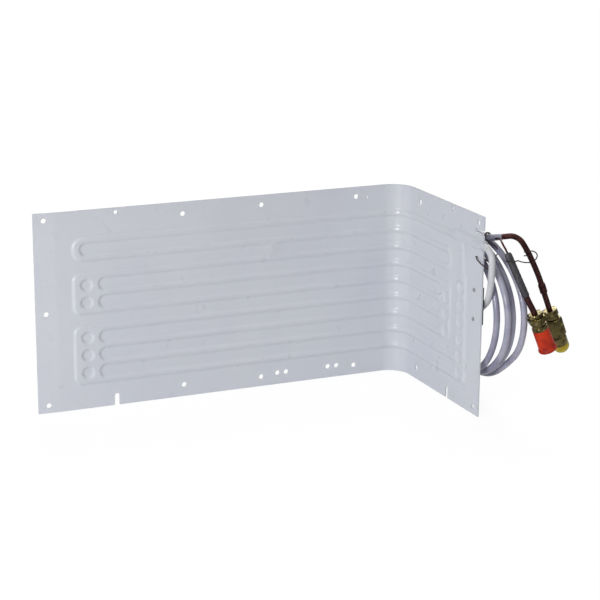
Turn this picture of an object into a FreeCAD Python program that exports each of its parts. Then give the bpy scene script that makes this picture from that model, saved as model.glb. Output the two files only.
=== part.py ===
"""Plate evaporator for a small refrigerator: an L-shaped roll-bond panel with its coiled refrigerant
line and a pair of self-sealing couplings under dust caps.

Frame: the origin is the outer corner of the L at its lower edge. The long side runs along -X with its
flat back at Y = 0, the short side runs along -Y with its flat back at X = 0, and Z is up. Millimetres.
"""

import FreeCAD, Part
import Sketcher
import math
import os

Vector = FreeCAD.Vector
doc = FreeCAD.newDocument("plate_evaporator")

# Driving sizes, in millimetres and degrees
SIZES = (
    ("plate_height", 200.0, "height of the panel"),
    ("long_side", 394.0, "outer length of the long side"),
    ("short_side", 171.3, "outer length of the short side"),
    ("bend_radius", 23.5, "outer radius of the bend"),
    ("sheet_gauge", 1.5, "thickness of the two bonded sheets"),
    ("margin_width", 21.0, "left margin beyond the crease"),
    ("margin_angle", 4.0, "angle of the left margin"),
    ("pass_count", 9, "raised passes through the bend"),
    ("pass_pitch", 17.75, "distance between passes"),
    ("pass_top", 170.35, "centre height of the top pass"),
    ("channel_width", 8.6, "width of a channel at its foot"),
    ("channel_rise", 2.0, "height of a channel above the sheet"),
    ("channel_draft", 40.0, "angle of a channel wall"),
    ("header_left", 38.0, "left edge of the channels from the end of the long side"),
    ("header_island", 64.8, "start of the flat islands from the end of the long side"),
    ("header_corner", 9.0, "corner radius of a header"),
    ("return_corner", 12.2, "corner radius of a return bend"),
    ("island_corner", 4.4, "corner radius of a flat island"),
    ("bond_spot", 3.9, "foot radius of a round bond spot"),
    ("bond_spot_left", 50.7, "left bond spots from the end of the long side"),
    ("overlap_run", 14.0, "straight run shared by a header and its passes"),
    ("short_wall", 112.0, "far wall of the short side's headers from the corner"),
    ("short_spot", 102.0, "bond spots of the short side's header from the corner"),
    ("short_island", 88.0, "end of the flat islands on the short side from the corner"),
    ("spot_row_top", 120.8, "height of the top row of bond spots on the short side"),
    ("spot_row_pitch", 17.6, "distance between those rows"),
    ("outlet_left", 121.0, "near wall of the outlet header from the corner"),
    ("outlet_right", 143.0, "far wall of the outlet header from the corner"),
    ("outlet_top", 128.5, "top of the wide part of the outlet header"),
    ("riser_left", 128.4, "near wall of the riser from the corner"),
    ("riser_right", 138.4, "far wall of the riser from the corner"),
    ("mouth_height", 172.5, "height of the mouth's axis"),
    ("mouth_bore", 6.7, "bore of the mouth"),
    ("mouth_wall", 1.3, "wall of the swelling round the mouth"),
    ("mouth_depth", 18.0, "length of the swelling round the mouth"),
    ("hole_size", 5.0, "diameter of a fixing hole"),
    ("small_hole", 3.1, "diameter of a small hole"),
    ("edge_hole_inset", 10.5, "edge holes from the end of the panel"),
    ("edge_hole_rise", 7.5, "lowest and highest edge holes from the panel's edge"),
    ("pair_inset", 12.0, "outer pairs of holes from the panel's edge"),
    ("middle_inset", 10.0, "middle pairs of holes from the panel's edge"),
    ("first_pair", 150.8, "first pair of holes from the end of the long side"),
    ("second_pair", 234.5, "second pair of holes from the end of the long side"),
    ("third_pair", 339.0, "third pair of holes from the end of the long side"),
    ("bend_pair", 40.0, "pair of holes beside the bend, from the corner"),
    ("single_rise", 4.6, "holes over the slots from the top edge"),
    ("slot_left", 80.0, "slot in the long side's lower edge, from its end"),
    ("slot_right", 106.5, "slot in the short side's lower edge, from the corner"),
    ("slot_width", 5.0, "width of a slot"),
    ("slot_depth", 12.0, "depth of a slot"),
    ("notch_height", 184.0, "height of the notch in the free edge"),
    ("notch_width", 4.6, "width of the notch"),
    ("notch_depth", 15.5, "depth of the notch"),
    ("tie_hole_inset", 11.6, "hole of the tie wire from the free edge"),
    ("tie_hole_height", 158.0, "height of the hole of the tie wire"),
    ("clip_hole_inset", 14.8, "holes of the clip from the free edge"),
    ("clip_hole_low", 95.7, "height of the lower hole of the clip"),
    ("clip_hole_high", 124.8, "height of the upper hole of the clip"),
    ("stub_size", 6.5, "outside diameter of the stub tube"),
    ("stub_wall", 1.0, "wall of the stub tube"),
    ("clip_width", 16.5, "width of the moulded clip"),
    ("clip_gauge", 1.6, "thickness of the clip's base"),
    ("clip_lip", 2.2, "height of the clip's two lips"),
    ("clip_end", 4.0, "clip's length beyond its studs"),
    ("line_size", 6.6, "outside diameter of the sleeved line"),
    ("coil_size", 135.0, "diameter of the coil's first turn"),
    ("coil_overhang", 9.2, "the first turn's reach past the free edge"),
    ("coil_height", 97.0, "height of the coil's axis"),
    ("line_gap", 0.5, "clearance of the stub, the coil and the panel where they cross"),
    ("joint_sleeve_wall", 0.8, "wall of the joint's sleeve"),
    ("joint_sleeve_length", 26.0, "length of the joint's sleeve"),
    ("rear_tube", 5.6, "outside diameter of the rear copper tube"),
    ("tube_wall", 0.8, "wall of the copper tubes"),
    ("bell_wall", 0.75, "wall of the swaged bell"),
    ("bell_lead", 2.0, "length of the cone before the bell"),
    ("bell_length", 9.0, "length of the swaged bell"),
    ("front_tube", 6.0, "outside diameter of the front copper tube"),
    ("shrink_wall", 0.4, "wall of a shrink sleeve"),
    ("capillary_size", 2.0, "outside diameter of the capillary"),
    ("wire_size", 1.2, "diameter of a tie wire"),
    ("fit_gap", 0.1, "radial clearance of pieces fixed together"),
    ("running_gap", 0.35, "radial clearance of pieces that turn or slide"),
    ("socket_depth", 5.0, "depth of a coupling's tube socket"),
    ("boss_length", 3.0, "length of a coupling's tube boss"),
    ("front_boss", 10.5, "diameter of the front coupling's boss"),
    ("front_hex", 16.0, "width across flats of the front coupling"),
    ("front_hex_length", 9.5, "length of the front coupling's hexagon"),
    ("neck_size", 13.5, "diameter of the front coupling's neck"),
    ("neck_length", 4.0, "length of the neck"),
    ("shoulder_size", 16.5, "diameter of the shoulder over the thread"),
    ("shoulder_length", 2.0, "length of the shoulder"),
    ("thread_size", 15.9, "outside diameter of the thread"),
    ("thread_length", 19.0, "length of the thread"),
    ("chamber_size", 10.1, "bore of a coupling's spring chamber"),
    ("front_mouth", 7.6, "bore of the front coupling's mouth"),
    ("front_mouth_length", 6.0, "length of that mouth"),
    ("cap_wall", 1.3, "wall of the dust cap"),
    ("cap_rim", 0.8, "height of the rim at the cap's closed end"),
    ("cap_rim_length", 2.8, "length of that rim"),
    ("cap_start", 0.7, "gap between the shoulder and the cap"),
    ("rear_boss", 11.5, "diameter of the rear coupling's boss"),
    ("rear_hex", 15.0, "width across flats of the rear coupling"),
    ("rear_hex_length", 8.0, "length of that hexagon"),
    ("rear_body", 13.0, "diameter of the rear coupling's body"),
    ("rear_flange", 14.4, "diameter of the flange that holds the nut"),
    ("flange_length", 2.0, "length of that flange"),
    ("ring_wire", 0.6, "wire of the retaining ring"),
    ("nut_lip", 3.6, "length of the nut's lip"),
    ("nut_hex", 18.0, "width across flats of the union nut"),
    ("nut_hex_length", 18.5, "length of the nut's hexagon"),
    ("nut_skirt", 16.8, "diameter of the nut's round end"),
    ("nut_skirt_length", 6.0, "length of that end"),
    ("nose_length", 13.0, "length of the rear body in front of its flange"),
    ("rear_mouth", 7.8, "bore of the rear coupling's mouth"),
    ("plug_flange", 17.4, "diameter of the plug's flange"),
    ("plug_flange_length", 3.4, "length of the plug's flange"),
    ("plug_dome", 3.6, "height of the plug's grip"),
    ("plug_wall", 1.2, "wall of the plug"),
    ("spring_wire", 0.9, "wire of a poppet spring"),
    ("poppet_stroke", 3.0, "stroke of a poppet"),
)

sheet = doc.addObject("Spreadsheet::Sheet", "Sizes")
for row, (name, value, note) in enumerate(SIZES, 1):
    sheet.set(f"A{row}", name)
    sheet.set(f"B{row}", str(value))
    sheet.set(f"C{row}", note)
    sheet.setAlias(f"B{row}", name)
doc.recompute()


class Size:
    """A length or angle that knows both its value and the formula that ties it to the sheet."""

    def __init__(self, value, formula):
        self.value = float(value)
        self.formula = formula

    def __float__(self):
        return self.value

    def __add__(self, other):
        return joined(self, other, "+", self.value + float(other))

    def __radd__(self, other):
        return joined(other, self, "+", float(other) + self.value)

    def __sub__(self, other):
        return joined(self, other, "-", self.value - float(other))

    def __rsub__(self, other):
        return joined(other, self, "-", float(other) - self.value)

    def __mul__(self, other):
        return joined(self, other, "*", self.value * float(other))

    def __rmul__(self, other):
        return joined(other, self, "*", float(other) * self.value)

    def __truediv__(self, other):
        return joined(self, other, "/", self.value / float(other))

    def __neg__(self):
        return Size(-self.value, f"(0 - {self.formula})")

    def sine(self):
        return Size(math.sin(math.radians(self.value)), f"sin({self.formula} * 1 deg)")

    def cosine(self):
        return Size(math.cos(math.radians(self.value)), f"cos({self.formula} * 1 deg)")

    def tangent(self):
        return Size(math.tan(math.radians(self.value)), f"tan({self.formula} * 1 deg)")


def formula_of(term):
    return term.formula if isinstance(term, Size) else str(float(term))


def joined(left, right, sign, value):
    return Size(value, f"({formula_of(left)} {sign} {formula_of(right)})")


class Sheet:
    """Reads a cell of the sheet by its name."""

    def __getattr__(self, name):
        return Size(sheet.get(name), f"Sizes.{name}")


size = Sheet()


def bind(item, place, value):
    """Tie a property, or a sketch's datum, to the sheet."""
    if isinstance(value, Size):
        item.setExpression(place, value.formula)
    else:
        setattr(item, place, value)


def origin_feature(body, role):
    return next(item for item in body.Origin.OriginFeatures if item.Role == role)


def new_body(label):
    body = doc.addObject("PartDesign::Body", label)
    body.Label = label
    return body


def new_sketch(body, name, role, offset=0.0):
    """A sketch on one of the body's own planes, moved along the plane's normal by offset."""
    sketch = body.newObject("Sketcher::SketchObject", name)
    sketch.AttachmentSupport = [(origin_feature(body, role), "")]
    sketch.MapMode = "FlatFace"
    if isinstance(offset, Size):
        sketch.setExpression("AttachmentOffset.Base.z", offset.formula)
    elif offset:
        sketch.AttachmentOffset = FreeCAD.Placement(Vector(0, 0, offset), FreeCAD.Rotation())
    return sketch


def datum(sketch, kind, *rest):
    """A driving constraint whose last argument is its size."""
    value = rest[-1]
    index = sketch.addConstraint(Sketcher.Constraint(kind, *rest[:-1], float(value)))
    if isinstance(value, Size):
        sketch.setExpression(f"Constraints[{index}]", value.formula)


def pin_point(sketch, geometry, vertex, x, y):
    datum(sketch, "DistanceX", -1, 1, geometry, vertex, x)
    datum(sketch, "DistanceY", -1, 1, geometry, vertex, y)


def add_polygon(sketch, corners):
    """A closed outline of straight edges whose corners are tied to the sheet."""
    points = [Vector(float(x), float(y), 0) for x, y in corners]
    edges = []
    for start, end in zip(points, points[1:] + points[:1]):
        edges.append(sketch.addGeometry(Part.LineSegment(start, end)))
    for edge, following in zip(edges, edges[1:] + edges[:1]):
        sketch.addConstraint(Sketcher.Constraint("Coincident", edge, 2, following, 1))
    for edge, (x, y) in zip(edges, corners):
        pin_point(sketch, edge, 1, x, y)


def add_circle(sketch, x, y, radius):
    circle = Part.Circle(Vector(float(x), float(y), 0), Vector(0, 0, 1), float(radius))
    index = sketch.addGeometry(circle)
    pin_point(sketch, index, 3, x, y)
    datum(sketch, "Radius", index, radius)


def add_rounded_box(sketch, left, right, bottom, top, radius):
    """A rectangle with four equal round corners, tied to the sheet."""
    x0, x1, y0, y1, r = (float(v) for v in (left, right, bottom, top, radius))
    runs = (
        ((x0 + r, y0), (x1 - r, y0)),
        ((x1, y0 + r), (x1, y1 - r)),
        ((x1 - r, y1), (x0 + r, y1)),
        ((x0, y1 - r), (x0, y0 + r)),
    )
    centres = ((x1 - r, y0 + r), (x1 - r, y1 - r), (x0 + r, y1 - r), (x0 + r, y0 + r))
    lines = [
        sketch.addGeometry(Part.LineSegment(Vector(*start, 0), Vector(*end, 0)))
        for start, end in runs
    ]
    arcs = []
    for turn, centre in enumerate(centres):
        circle = Part.Circle(Vector(*centre, 0), Vector(0, 0, 1), r)
        begin = (turn - 1) * math.pi / 2
        arcs.append(sketch.addGeometry(Part.ArcOfCircle(circle, begin, begin + math.pi / 2)))
    for side in range(4):
        sketch.addConstraint(Sketcher.Constraint("Tangent", lines[side], 2, arcs[side], 1))
        sketch.addConstraint(
            Sketcher.Constraint("Tangent", arcs[side], 2, lines[(side + 1) % 4], 1)
        )
    for side in range(1, 4):
        sketch.addConstraint(Sketcher.Constraint("Equal", arcs[0], arcs[side]))
    sketch.addConstraint(Sketcher.Constraint("Horizontal", lines[0]))
    sketch.addConstraint(Sketcher.Constraint("Vertical", lines[1]))
    datum(sketch, "Radius", arcs[0], radius)
    datum(sketch, "DistanceY", -1, 1, lines[0], 1, bottom)
    datum(sketch, "DistanceX", -1, 1, lines[1], 1, right)
    datum(sketch, "DistanceY", -1, 1, lines[2], 1, top)
    datum(sketch, "DistanceX", -1, 1, lines[3], 1, left)


def pad(body, sketch, name, length, reverse=False, draft=None):
    feature = body.newObject("PartDesign::Pad", name)
    feature.Profile = sketch
    bind(feature, "Length", length)
    feature.Reversed = reverse
    if draft is not None:
        bind(feature, "TaperAngle", draft)
    body.Tip = feature
    return feature


def pocket(body, sketch, name, length, reverse=False, draft=None):
    feature = body.newObject("PartDesign::Pocket", name)
    feature.Profile = sketch
    bind(feature, "Length", length)
    feature.Reversed = reverse
    if draft is not None:
        bind(feature, "TaperAngle", draft)
    body.Tip = feature
    return feature


def turned(body, name, corners, cut=False):
    """A turned form: the outline (radius, height) revolved about the body's Z axis."""
    sketch = new_sketch(body, name + "_profile", "XZ_Plane")
    add_polygon(sketch, corners)
    kind = "PartDesign::Groove" if cut else "PartDesign::Revolution"
    feature = body.newObject(kind, name)
    feature.Profile = sketch
    feature.ReferenceAxis = (sketch, ["V_Axis"])
    feature.Angle = 360.0
    body.Tip = feature
    return feature


def add_hexagon(sketch, flats):
    """A hexagon about the origin, given its width across flats."""
    half = flats / 2
    corner = flats / math.sqrt(3)
    points = []
    for step in range(6):
        angle = math.radians(60 * step)
        points.append((corner * math.cos(angle), corner * math.sin(angle)))
    add_polygon(sketch, points)
    return half


# The panel: two aluminium sheets bonded flat, their channels blown up on the inner side, then bent
# to an L and powder coated. One piece.


def short(distance):
    """A place on the short side, given its distance from the corner."""
    return -distance


def from_end(distance):
    """A place on the long side, given its distance from the free end."""
    return distance - size.long_side


def pass_height(number):
    """The height of a pass's centre, counted from 0 at the top. Half numbers lie between passes."""
    return size.pass_top - number * size.pass_pitch


def foot_below(number):
    return pass_height(number) - size.channel_width / 2


def foot_above(number):
    return pass_height(number) + size.channel_width / 2


def panel_outline(body):
    """The L of the bare sheet seen from above, with its crease near the left end."""
    sketch = new_sketch(body, "panel_outline", "XY_Plane")
    gauge = size.sheet_gauge
    bend = size.bend_radius
    crease = from_end(size.margin_width)
    run = size.margin_width * size.margin_angle.cosine()
    rise = size.margin_width * size.margin_angle.sine()
    corners = (
        (crease, 0.0),
        (-bend, 0.0),
        (0.0, -bend),
        (0.0, -size.short_side),
        (-gauge, -size.short_side),
        (-gauge, -bend),
        (-bend, -gauge),
        (crease - gauge * (size.margin_angle / 2).tangent(), -gauge),
        (crease - run - gauge * size.margin_angle.sine(), rise - gauge * size.margin_angle.cosine()),
        (crease - run, rise),
    )
    centre = Vector(-float(bend), -float(bend), 0)
    radii = {1: float(bend), 5: float(bend - gauge)}
    points = [Vector(float(x), float(y), 0) for x, y in corners]
    edges = []
    ends = []
    for number, start in enumerate(points):
        end = points[(number + 1) % len(points)]
        if number in radii:
            circle = Part.Circle(centre, Vector(0, 0, 1), radii[number])
            edges.append(sketch.addGeometry(Part.ArcOfCircle(circle, 0.0, math.pi / 2)))
            ends.append((2, 1) if number == 1 else (1, 2))
        else:
            edges.append(sketch.addGeometry(Part.LineSegment(start, end)))
            ends.append((1, 2))
    count = len(edges)
    for number in range(count):
        following = (number + 1) % count
        sketch.addConstraint(
            Sketcher.Constraint(
                "Coincident", edges[number], ends[number][1], edges[following], ends[following][0]
            )
        )
    for number, (x, y) in enumerate(corners):
        if number in radii:
            datum(sketch, "DistanceX", -1, 1, edges[number], 3, -bend)
            before = number - 1
            pin_point(sketch, edges[before], ends[before][1], x, y)
        elif number - 1 in radii:
            pin_point(sketch, edges[number], ends[number][0], x, y)
        elif number + 1 not in radii or number not in (0, 4):
            pin_point(sketch, edges[number], ends[number][0], x, y)
        else:
            pin_point(sketch, edges[number], ends[number][0], x, y)
    return sketch


def add_passes(body):
    """One pass swept along the sheet and round the bend, repeated down the panel."""
    gauge = size.sheet_gauge
    bend = size.bend_radius
    start = from_end(size.header_island + size.overlap_run / 2)
    stop = short(size.short_wall - size.channel_width)
    path = new_sketch(body, "pass_path", "XY_Plane", pass_height(0))
    depth = gauge / 2
    middle = bend - depth
    centre = Vector(-float(bend), -float(bend), 0)
    line = sketch_line(path, (start, -depth), (-bend, -depth))
    arc = path.addGeometry(
        Part.ArcOfCircle(Part.Circle(centre, Vector(0, 0, 1), float(middle)), 0.0, math.pi / 2)
    )
    tail = sketch_line(path, (-depth, -bend), (-depth, stop))
    path.addConstraint(Sketcher.Constraint("Coincident", line, 2, arc, 2))
    path.addConstraint(Sketcher.Constraint("Coincident", tail, 1, arc, 1))
    datum(path, "DistanceX", -1, 1, arc, 3, -bend)

    section = new_sketch(body, "pass_section", "YZ_Plane", start)
    foot = size.channel_width / 2
    crest = foot - size.channel_rise * size.channel_draft.tangent()
    height = pass_height(0)
    add_polygon(
        section,
        (
            (-depth, height - foot),
            (-gauge, height - foot),
            (-gauge - size.channel_rise, height - crest),
            (-gauge - size.channel_rise, height + crest),
            (-gauge, height + foot),
            (-depth, height + foot),
        ),
    )
    doc.recompute()
    swept = body.newObject("PartDesign::AdditivePipe", "top_pass")
    swept.Profile = section
    swept.Spine = (path, ["Edge1", "Edge2", "Edge3"])
    body.Tip = swept
    doc.recompute()
    rows = body.newObject("PartDesign::LinearPattern", "passes")
    rows.Originals = [swept]
    rows.Direction = (origin_feature(body, "Z_Axis"), [""])
    rows.Reversed = True
    rows.setExpression("Length", "Sizes.pass_pitch * (Sizes.pass_count - 1)")
    rows.setExpression("Occurrences", "Sizes.pass_count")
    body.Tip = rows


def sketch_line(sketch, start, end):
    """A line whose two ends are tied to the sheet."""
    index = sketch.addGeometry(
        Part.LineSegment(
            Vector(float(start[0]), float(start[1]), 0), Vector(float(end[0]), float(end[1]), 0)
        )
    )
    pin_point(sketch, index, 1, *start)
    pin_point(sketch, index, 2, *end)
    return index


def add_long_headers(body):
    """The return bend and the two headers at the left, then their islands and bond spots."""
    gauge = size.sheet_gauge
    crown = gauge + size.channel_rise
    left = from_end(size.header_left)
    right = from_end(size.header_island + size.overlap_run)
    raised = new_sketch(body, "long_headers", "XZ_Plane", gauge)
    add_rounded_box(raised, left, right, foot_below(1), foot_above(0), size.return_corner)
    add_rounded_box(raised, left, right, foot_below(4), foot_above(2), size.header_corner)
    add_rounded_box(raised, left, right, foot_below(8), foot_above(5), size.header_corner)
    pad(body, raised, "long_header_relief", size.channel_rise, draft=-size.channel_draft)

    spread = size.channel_rise * size.channel_draft.tangent()
    flats = new_sketch(body, "long_islands", "XZ_Plane", crown)
    end = right + size.overlap_run
    starts = {0: size.header_left + size.channel_width}
    for number in (0, 2, 3, 5, 6, 7):
        begin = from_end(starts.get(number, size.header_island))
        add_rounded_box(
            flats,
            begin - spread,
            end,
            foot_above(number + 1) - spread,
            foot_below(number) + spread,
            size.island_corner + spread,
        )
    for number in (2, 3, 5, 6, 7):
        add_circle(
            flats, from_end(size.bond_spot_left), pass_height(number + 0.5), size.bond_spot + spread
        )
    pocket(body, flats, "long_island_relief", size.channel_rise, draft=-size.channel_draft)


def add_short_headers(body):
    """The headers, the riser and the mouth's channel on the short side, with islands and spots."""
    gauge = size.sheet_gauge
    crown = gauge + size.channel_rise
    spread = size.channel_rise * size.channel_draft.tangent()
    near = short(size.short_island - size.overlap_run)
    wall = short(size.short_wall)
    raised = new_sketch(body, "short_headers", "YZ_Plane", -gauge)
    add_rounded_box(raised, wall, near, foot_below(2), foot_above(1), size.return_corner)
    add_rounded_box(raised, wall, near, foot_below(6), foot_above(3), size.header_corner)
    pad(
        body, raised, "short_header_relief", size.channel_rise, reverse=True, draft=-size.channel_draft
    )

    outlet = new_sketch(body, "outlet_header", "YZ_Plane", -gauge)
    add_rounded_box(
        outlet,
        short(size.outlet_right),
        short(size.outlet_left),
        foot_below(8),
        size.outlet_top,
        size.island_corner,
    )
    pad(body, outlet, "outlet_relief", size.channel_rise, reverse=True, draft=-size.channel_draft)

    riser = new_sketch(body, "riser_outline", "YZ_Plane", -gauge)
    mouth_top = size.mouth_height + size.channel_width * 0.75
    add_polygon(
        riser,
        (
            (short(size.riser_right), size.outlet_top - size.channel_width),
            (short(size.riser_left), size.outlet_top - size.channel_width),
            (short(size.riser_left), foot_below(0)),
            (short(size.short_wall - size.channel_width), foot_below(0)),
            (short(size.short_wall - size.channel_width), foot_above(0)),
            (short(size.short_wall + size.channel_width / 2), foot_above(0)),
            (short(size.short_wall + size.channel_width), mouth_top),
            (short(size.short_side), mouth_top),
            (short(size.short_side), mouth_top - size.channel_width * 1.5),
            (short(size.riser_right), mouth_top - size.channel_width * 1.5),
        ),
    )
    pad(body, riser, "riser_relief", size.channel_rise, reverse=True)

    feed = new_sketch(body, "feed_outline", "YZ_Plane", -gauge)
    for number in (7, 8):
        add_polygon(
            feed,
            (
                (short(size.outlet_left + size.channel_width), foot_below(number)),
                (short(size.short_wall - size.channel_width), foot_below(number)),
                (short(size.short_wall - size.channel_width), foot_above(number)),
                (short(size.outlet_left + size.channel_width), foot_above(number)),
            ),
        )
    pad(body, feed, "feed_relief", size.channel_rise, reverse=True)

    flats = new_sketch(body, "short_islands", "YZ_Plane", -crown)
    begin = near + size.overlap_run
    return_end = short(size.short_wall - size.channel_width)
    for number in (1, 3, 4, 5):
        end = return_end if number == 1 else short(size.short_island)
        add_rounded_box(
            flats,
            end - spread,
            begin,
            foot_above(number + 1) - spread,
            foot_below(number) + spread,
            size.island_corner + spread,
        )
    for row in range(6):
        height = size.spot_row_top - row * size.spot_row_pitch
        outlet_spot = short((size.outlet_left + size.outlet_right) / 2)
        add_circle(flats, outlet_spot, height, size.bond_spot + spread)
        if 1 <= row <= 3:
            add_circle(flats, short(size.short_spot), height, size.bond_spot + spread)
    pocket(
        body, flats, "short_island_relief", size.channel_rise, reverse=True, draft=-size.channel_draft
    )


def add_mouth(body):
    """The swelling at the free edge that takes the stub tube."""
    radius = size.mouth_bore / 2
    shell = new_sketch(body, "mouth_outline", "XZ_Plane", size.short_side)
    add_circle(shell, -size.sheet_gauge / 2, size.mouth_height, radius + size.mouth_wall)
    pad(body, shell, "mouth_swelling", size.mouth_depth, reverse=True, draft=-5.0)
    bore = new_sketch(body, "mouth_bore_outline", "XZ_Plane", size.short_side)
    add_circle(bore, -size.sheet_gauge / 2, size.mouth_height, radius)
    pocket(body, bore, "mouth_bore", size.mouth_depth * 0.6)


def add_holes(body):
    """Fixing holes, slots and the notch, cut after forming."""
    radius = size.hole_size / 2
    small = size.small_hole / 2
    top = size.plate_height
    reach = size.long_side
    long_holes = new_sketch(body, "long_holes", "XZ_Plane", -reach / 2)
    inset = size.edge_hole_inset
    for height in (size.edge_hole_rise, top / 2, top - size.edge_hole_rise):
        add_circle(long_holes, from_end(inset), height, radius)
    for place, margin in (
        (size.first_pair, size.pair_inset),
        (size.second_pair, size.middle_inset),
        (size.third_pair, size.middle_inset),
    ):
        add_circle(long_holes, from_end(place), margin, radius)
        add_circle(long_holes, from_end(place), top - margin, radius)
    add_circle(long_holes, from_end(size.slot_left + 2.0), top - size.single_rise, small)
    for place in (size.second_pair + 18.0, size.second_pair + 27.6):
        add_circle(long_holes, from_end(place), size.pair_inset, radius)
    for place in (size.third_pair - 29.7, size.third_pair - 19.9):
        add_circle(long_holes, from_end(place), size.pair_inset, radius)
    add_circle(long_holes, from_end(size.third_pair + 13.0), top - size.pair_inset, small / 2)
    pocket(body, long_holes, "long_hole_cuts", reach, reverse=True)

    short_holes = new_sketch(body, "short_holes", "YZ_Plane", -reach / 2)
    far = short(size.short_side - size.edge_hole_inset)
    add_circle(short_holes, short(size.bend_pair), size.pair_inset, radius)
    add_circle(short_holes, short(size.bend_pair), top - size.pair_inset, radius)
    add_circle(short_holes, far, size.edge_hole_rise, radius)
    add_circle(short_holes, far, top - size.edge_hole_rise, radius)
    add_circle(short_holes, short(size.slot_right + 1.5), top - size.single_rise, small)
    tie = short(size.short_side - size.tie_hole_inset)
    add_circle(short_holes, tie, size.tie_hole_height, small)
    clip = short(size.short_side - size.clip_hole_inset)
    add_circle(short_holes, clip, size.clip_hole_low, small)
    add_circle(short_holes, clip, size.clip_hole_high, small)
    pocket(body, short_holes, "short_hole_cuts", reach, reverse=True)

    half = size.slot_width / 2
    long_slot = new_sketch(body, "long_slot", "XZ_Plane", -reach / 2)
    add_rounded_box(
        long_slot,
        from_end(size.slot_left) - half,
        from_end(size.slot_left) + half,
        -size.slot_depth,
        size.slot_depth,
        half * 0.96,
    )
    pocket(body, long_slot, "long_slot_cut", reach, reverse=True)
    short_slot = new_sketch(body, "short_slot", "YZ_Plane", -reach / 2)
    add_rounded_box(
        short_slot,
        short(size.slot_right) - half,
        short(size.slot_right) + half,
        -size.slot_depth,
        size.slot_depth,
        half * 0.96,
    )
    notch = size.notch_width / 2
    edge = short(size.short_side)
    add_rounded_box(
        short_slot,
        edge - size.notch_depth,
        edge + size.notch_depth,
        size.notch_height - notch,
        size.notch_height + notch,
        notch * 0.96,
    )
    pocket(body, short_slot, "short_slot_cut", reach, reverse=True)


def make_panel():
    body = new_body("evaporator_plate")
    pad(body, panel_outline(body), "panel_sheet", size.plate_height)
    add_passes(body)
    add_long_headers(body)
    add_short_headers(body)
    add_mouth(body)
    add_holes(body)
    return body


make_panel()

# Lines: formed tubes, each a run of straight lengths joined by tangent bends.


def unit(vector):
    return Vector(vector).normalize()


def bent_wire(points, closed=False, lead=0.0):
    """A wire of straight lengths and tangent arcs through the corners of a polygon.

    The first straight length is shortened by lead.
    """
    corners = [Vector(*p) for p in points]
    count = len(corners)
    turns = range(count) if closed else range(1, count - 1)
    trims = {}
    for here in turns:
        corner = corners[here]
        back = corners[here - 1] - corner
        on = corners[(here + 1) % count] - corner
        trim = 0.45 * min(back.Length, on.Length)
        half = (math.pi - back.getAngle(on)) / 2
        if half < 0.004:
            trims[here] = (corner, corner, None)
            continue
        radius = trim / math.tan(half)
        inward = unit(unit(back) + unit(on))
        middle = corner + inward * (radius / math.cos(half) - radius)
        trims[here] = (corner + unit(back) * trim, corner + unit(on) * trim, middle)
    edges = []
    last = trims[0][1] if closed else corners[0] + unit(corners[1] - corners[0]) * lead
    for here in [*range(1, count), 0] if closed else turns:
        start, end, middle = trims[here]
        edges.append(Part.LineSegment(last, start).toShape())
        if middle is not None:
            edges.append(Part.Arc(start, middle, end).toShape())
        last = end
    if not closed:
        edges.append(Part.LineSegment(last, corners[-1]).toShape())
    return Part.Wire(edges)


def many_sided_ring(radius, start, along, sides):
    """The outline of a round section, drawn with flat sides."""
    across = along.cross(Vector(0, 0, 1))
    if across.Length < 0.1:
        across = along.cross(Vector(1, 0, 0))
    across = unit(across)
    upward = unit(across.cross(along))
    points = []
    for step in range(sides):
        angle = 2 * math.pi * step / sides
        points.append(start + across * (radius * math.cos(angle)) + upward * (radius * math.sin(angle)))
    return Part.makePolygon(points + points[:1])


def swept(wire, radius, sides, mitred=False):
    first = wire.OrderedEdges[0]
    start = first.valueAt(first.FirstParameter)
    along = first.tangentAt(first.FirstParameter)
    ring = many_sided_ring(radius, start, along, sides)
    shell = wire.makePipeShell([ring], True, False, 1 if mitred else 0)
    solid = shell if shell.ShapeType == "Solid" else Part.Solid(Part.Shell(shell.Faces))
    if solid.Volume < 0:
        solid.reverse()
    section = sides * radius * radius * math.sin(2 * math.pi / sides) / 2
    if abs(solid.Volume / (section * wire.Length) - 1) > 0.01:
        raise ValueError(f"a tube's volume is off: {solid.Volume:.1f} for {section * wire.Length:.1f}")
    return solid


def tube_shape(points, radius, bore=0.0, closed=False, lead=0.0, sides=12):
    """A tube, or a solid rod when its bore is zero. The bore is the free radius between its sides."""
    wire = bent_wire(points, closed, lead)
    shape = swept(wire, float(radius), sides)
    if float(bore) > 0:
        shape = shape.cut(swept(wire, float(bore) / math.cos(math.pi / sides), sides))
    return shape


def add_shape(label, shape):
    item = doc.addObject("Part::Feature", label)
    item.Label = label
    item.Shape = shape
    return item


# Places of the lines: from the panel, from the first turn's near side and from the coil's top.
doc.recompute()
reach = float(size.short_side)
line_radius = float(size.line_size) / 2
stub_radius = float(size.stub_size) / 2
line_gap = float(size.line_gap)
coil_radius = float(size.coil_size) / 2
coil_side = -reach - float(size.coil_overhang)
coil_axis = coil_side + coil_radius
coil_height = float(size.coil_height)
coil_top = coil_height + coil_radius
coil_place = stub_radius * 2 + line_radius + line_gap * 3


def from_coil(out, along, up):
    """A point from the first turn: outward from the panel, from its near side, from its top."""
    return Vector(coil_place + out, coil_side + along, coil_top + up)


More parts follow.
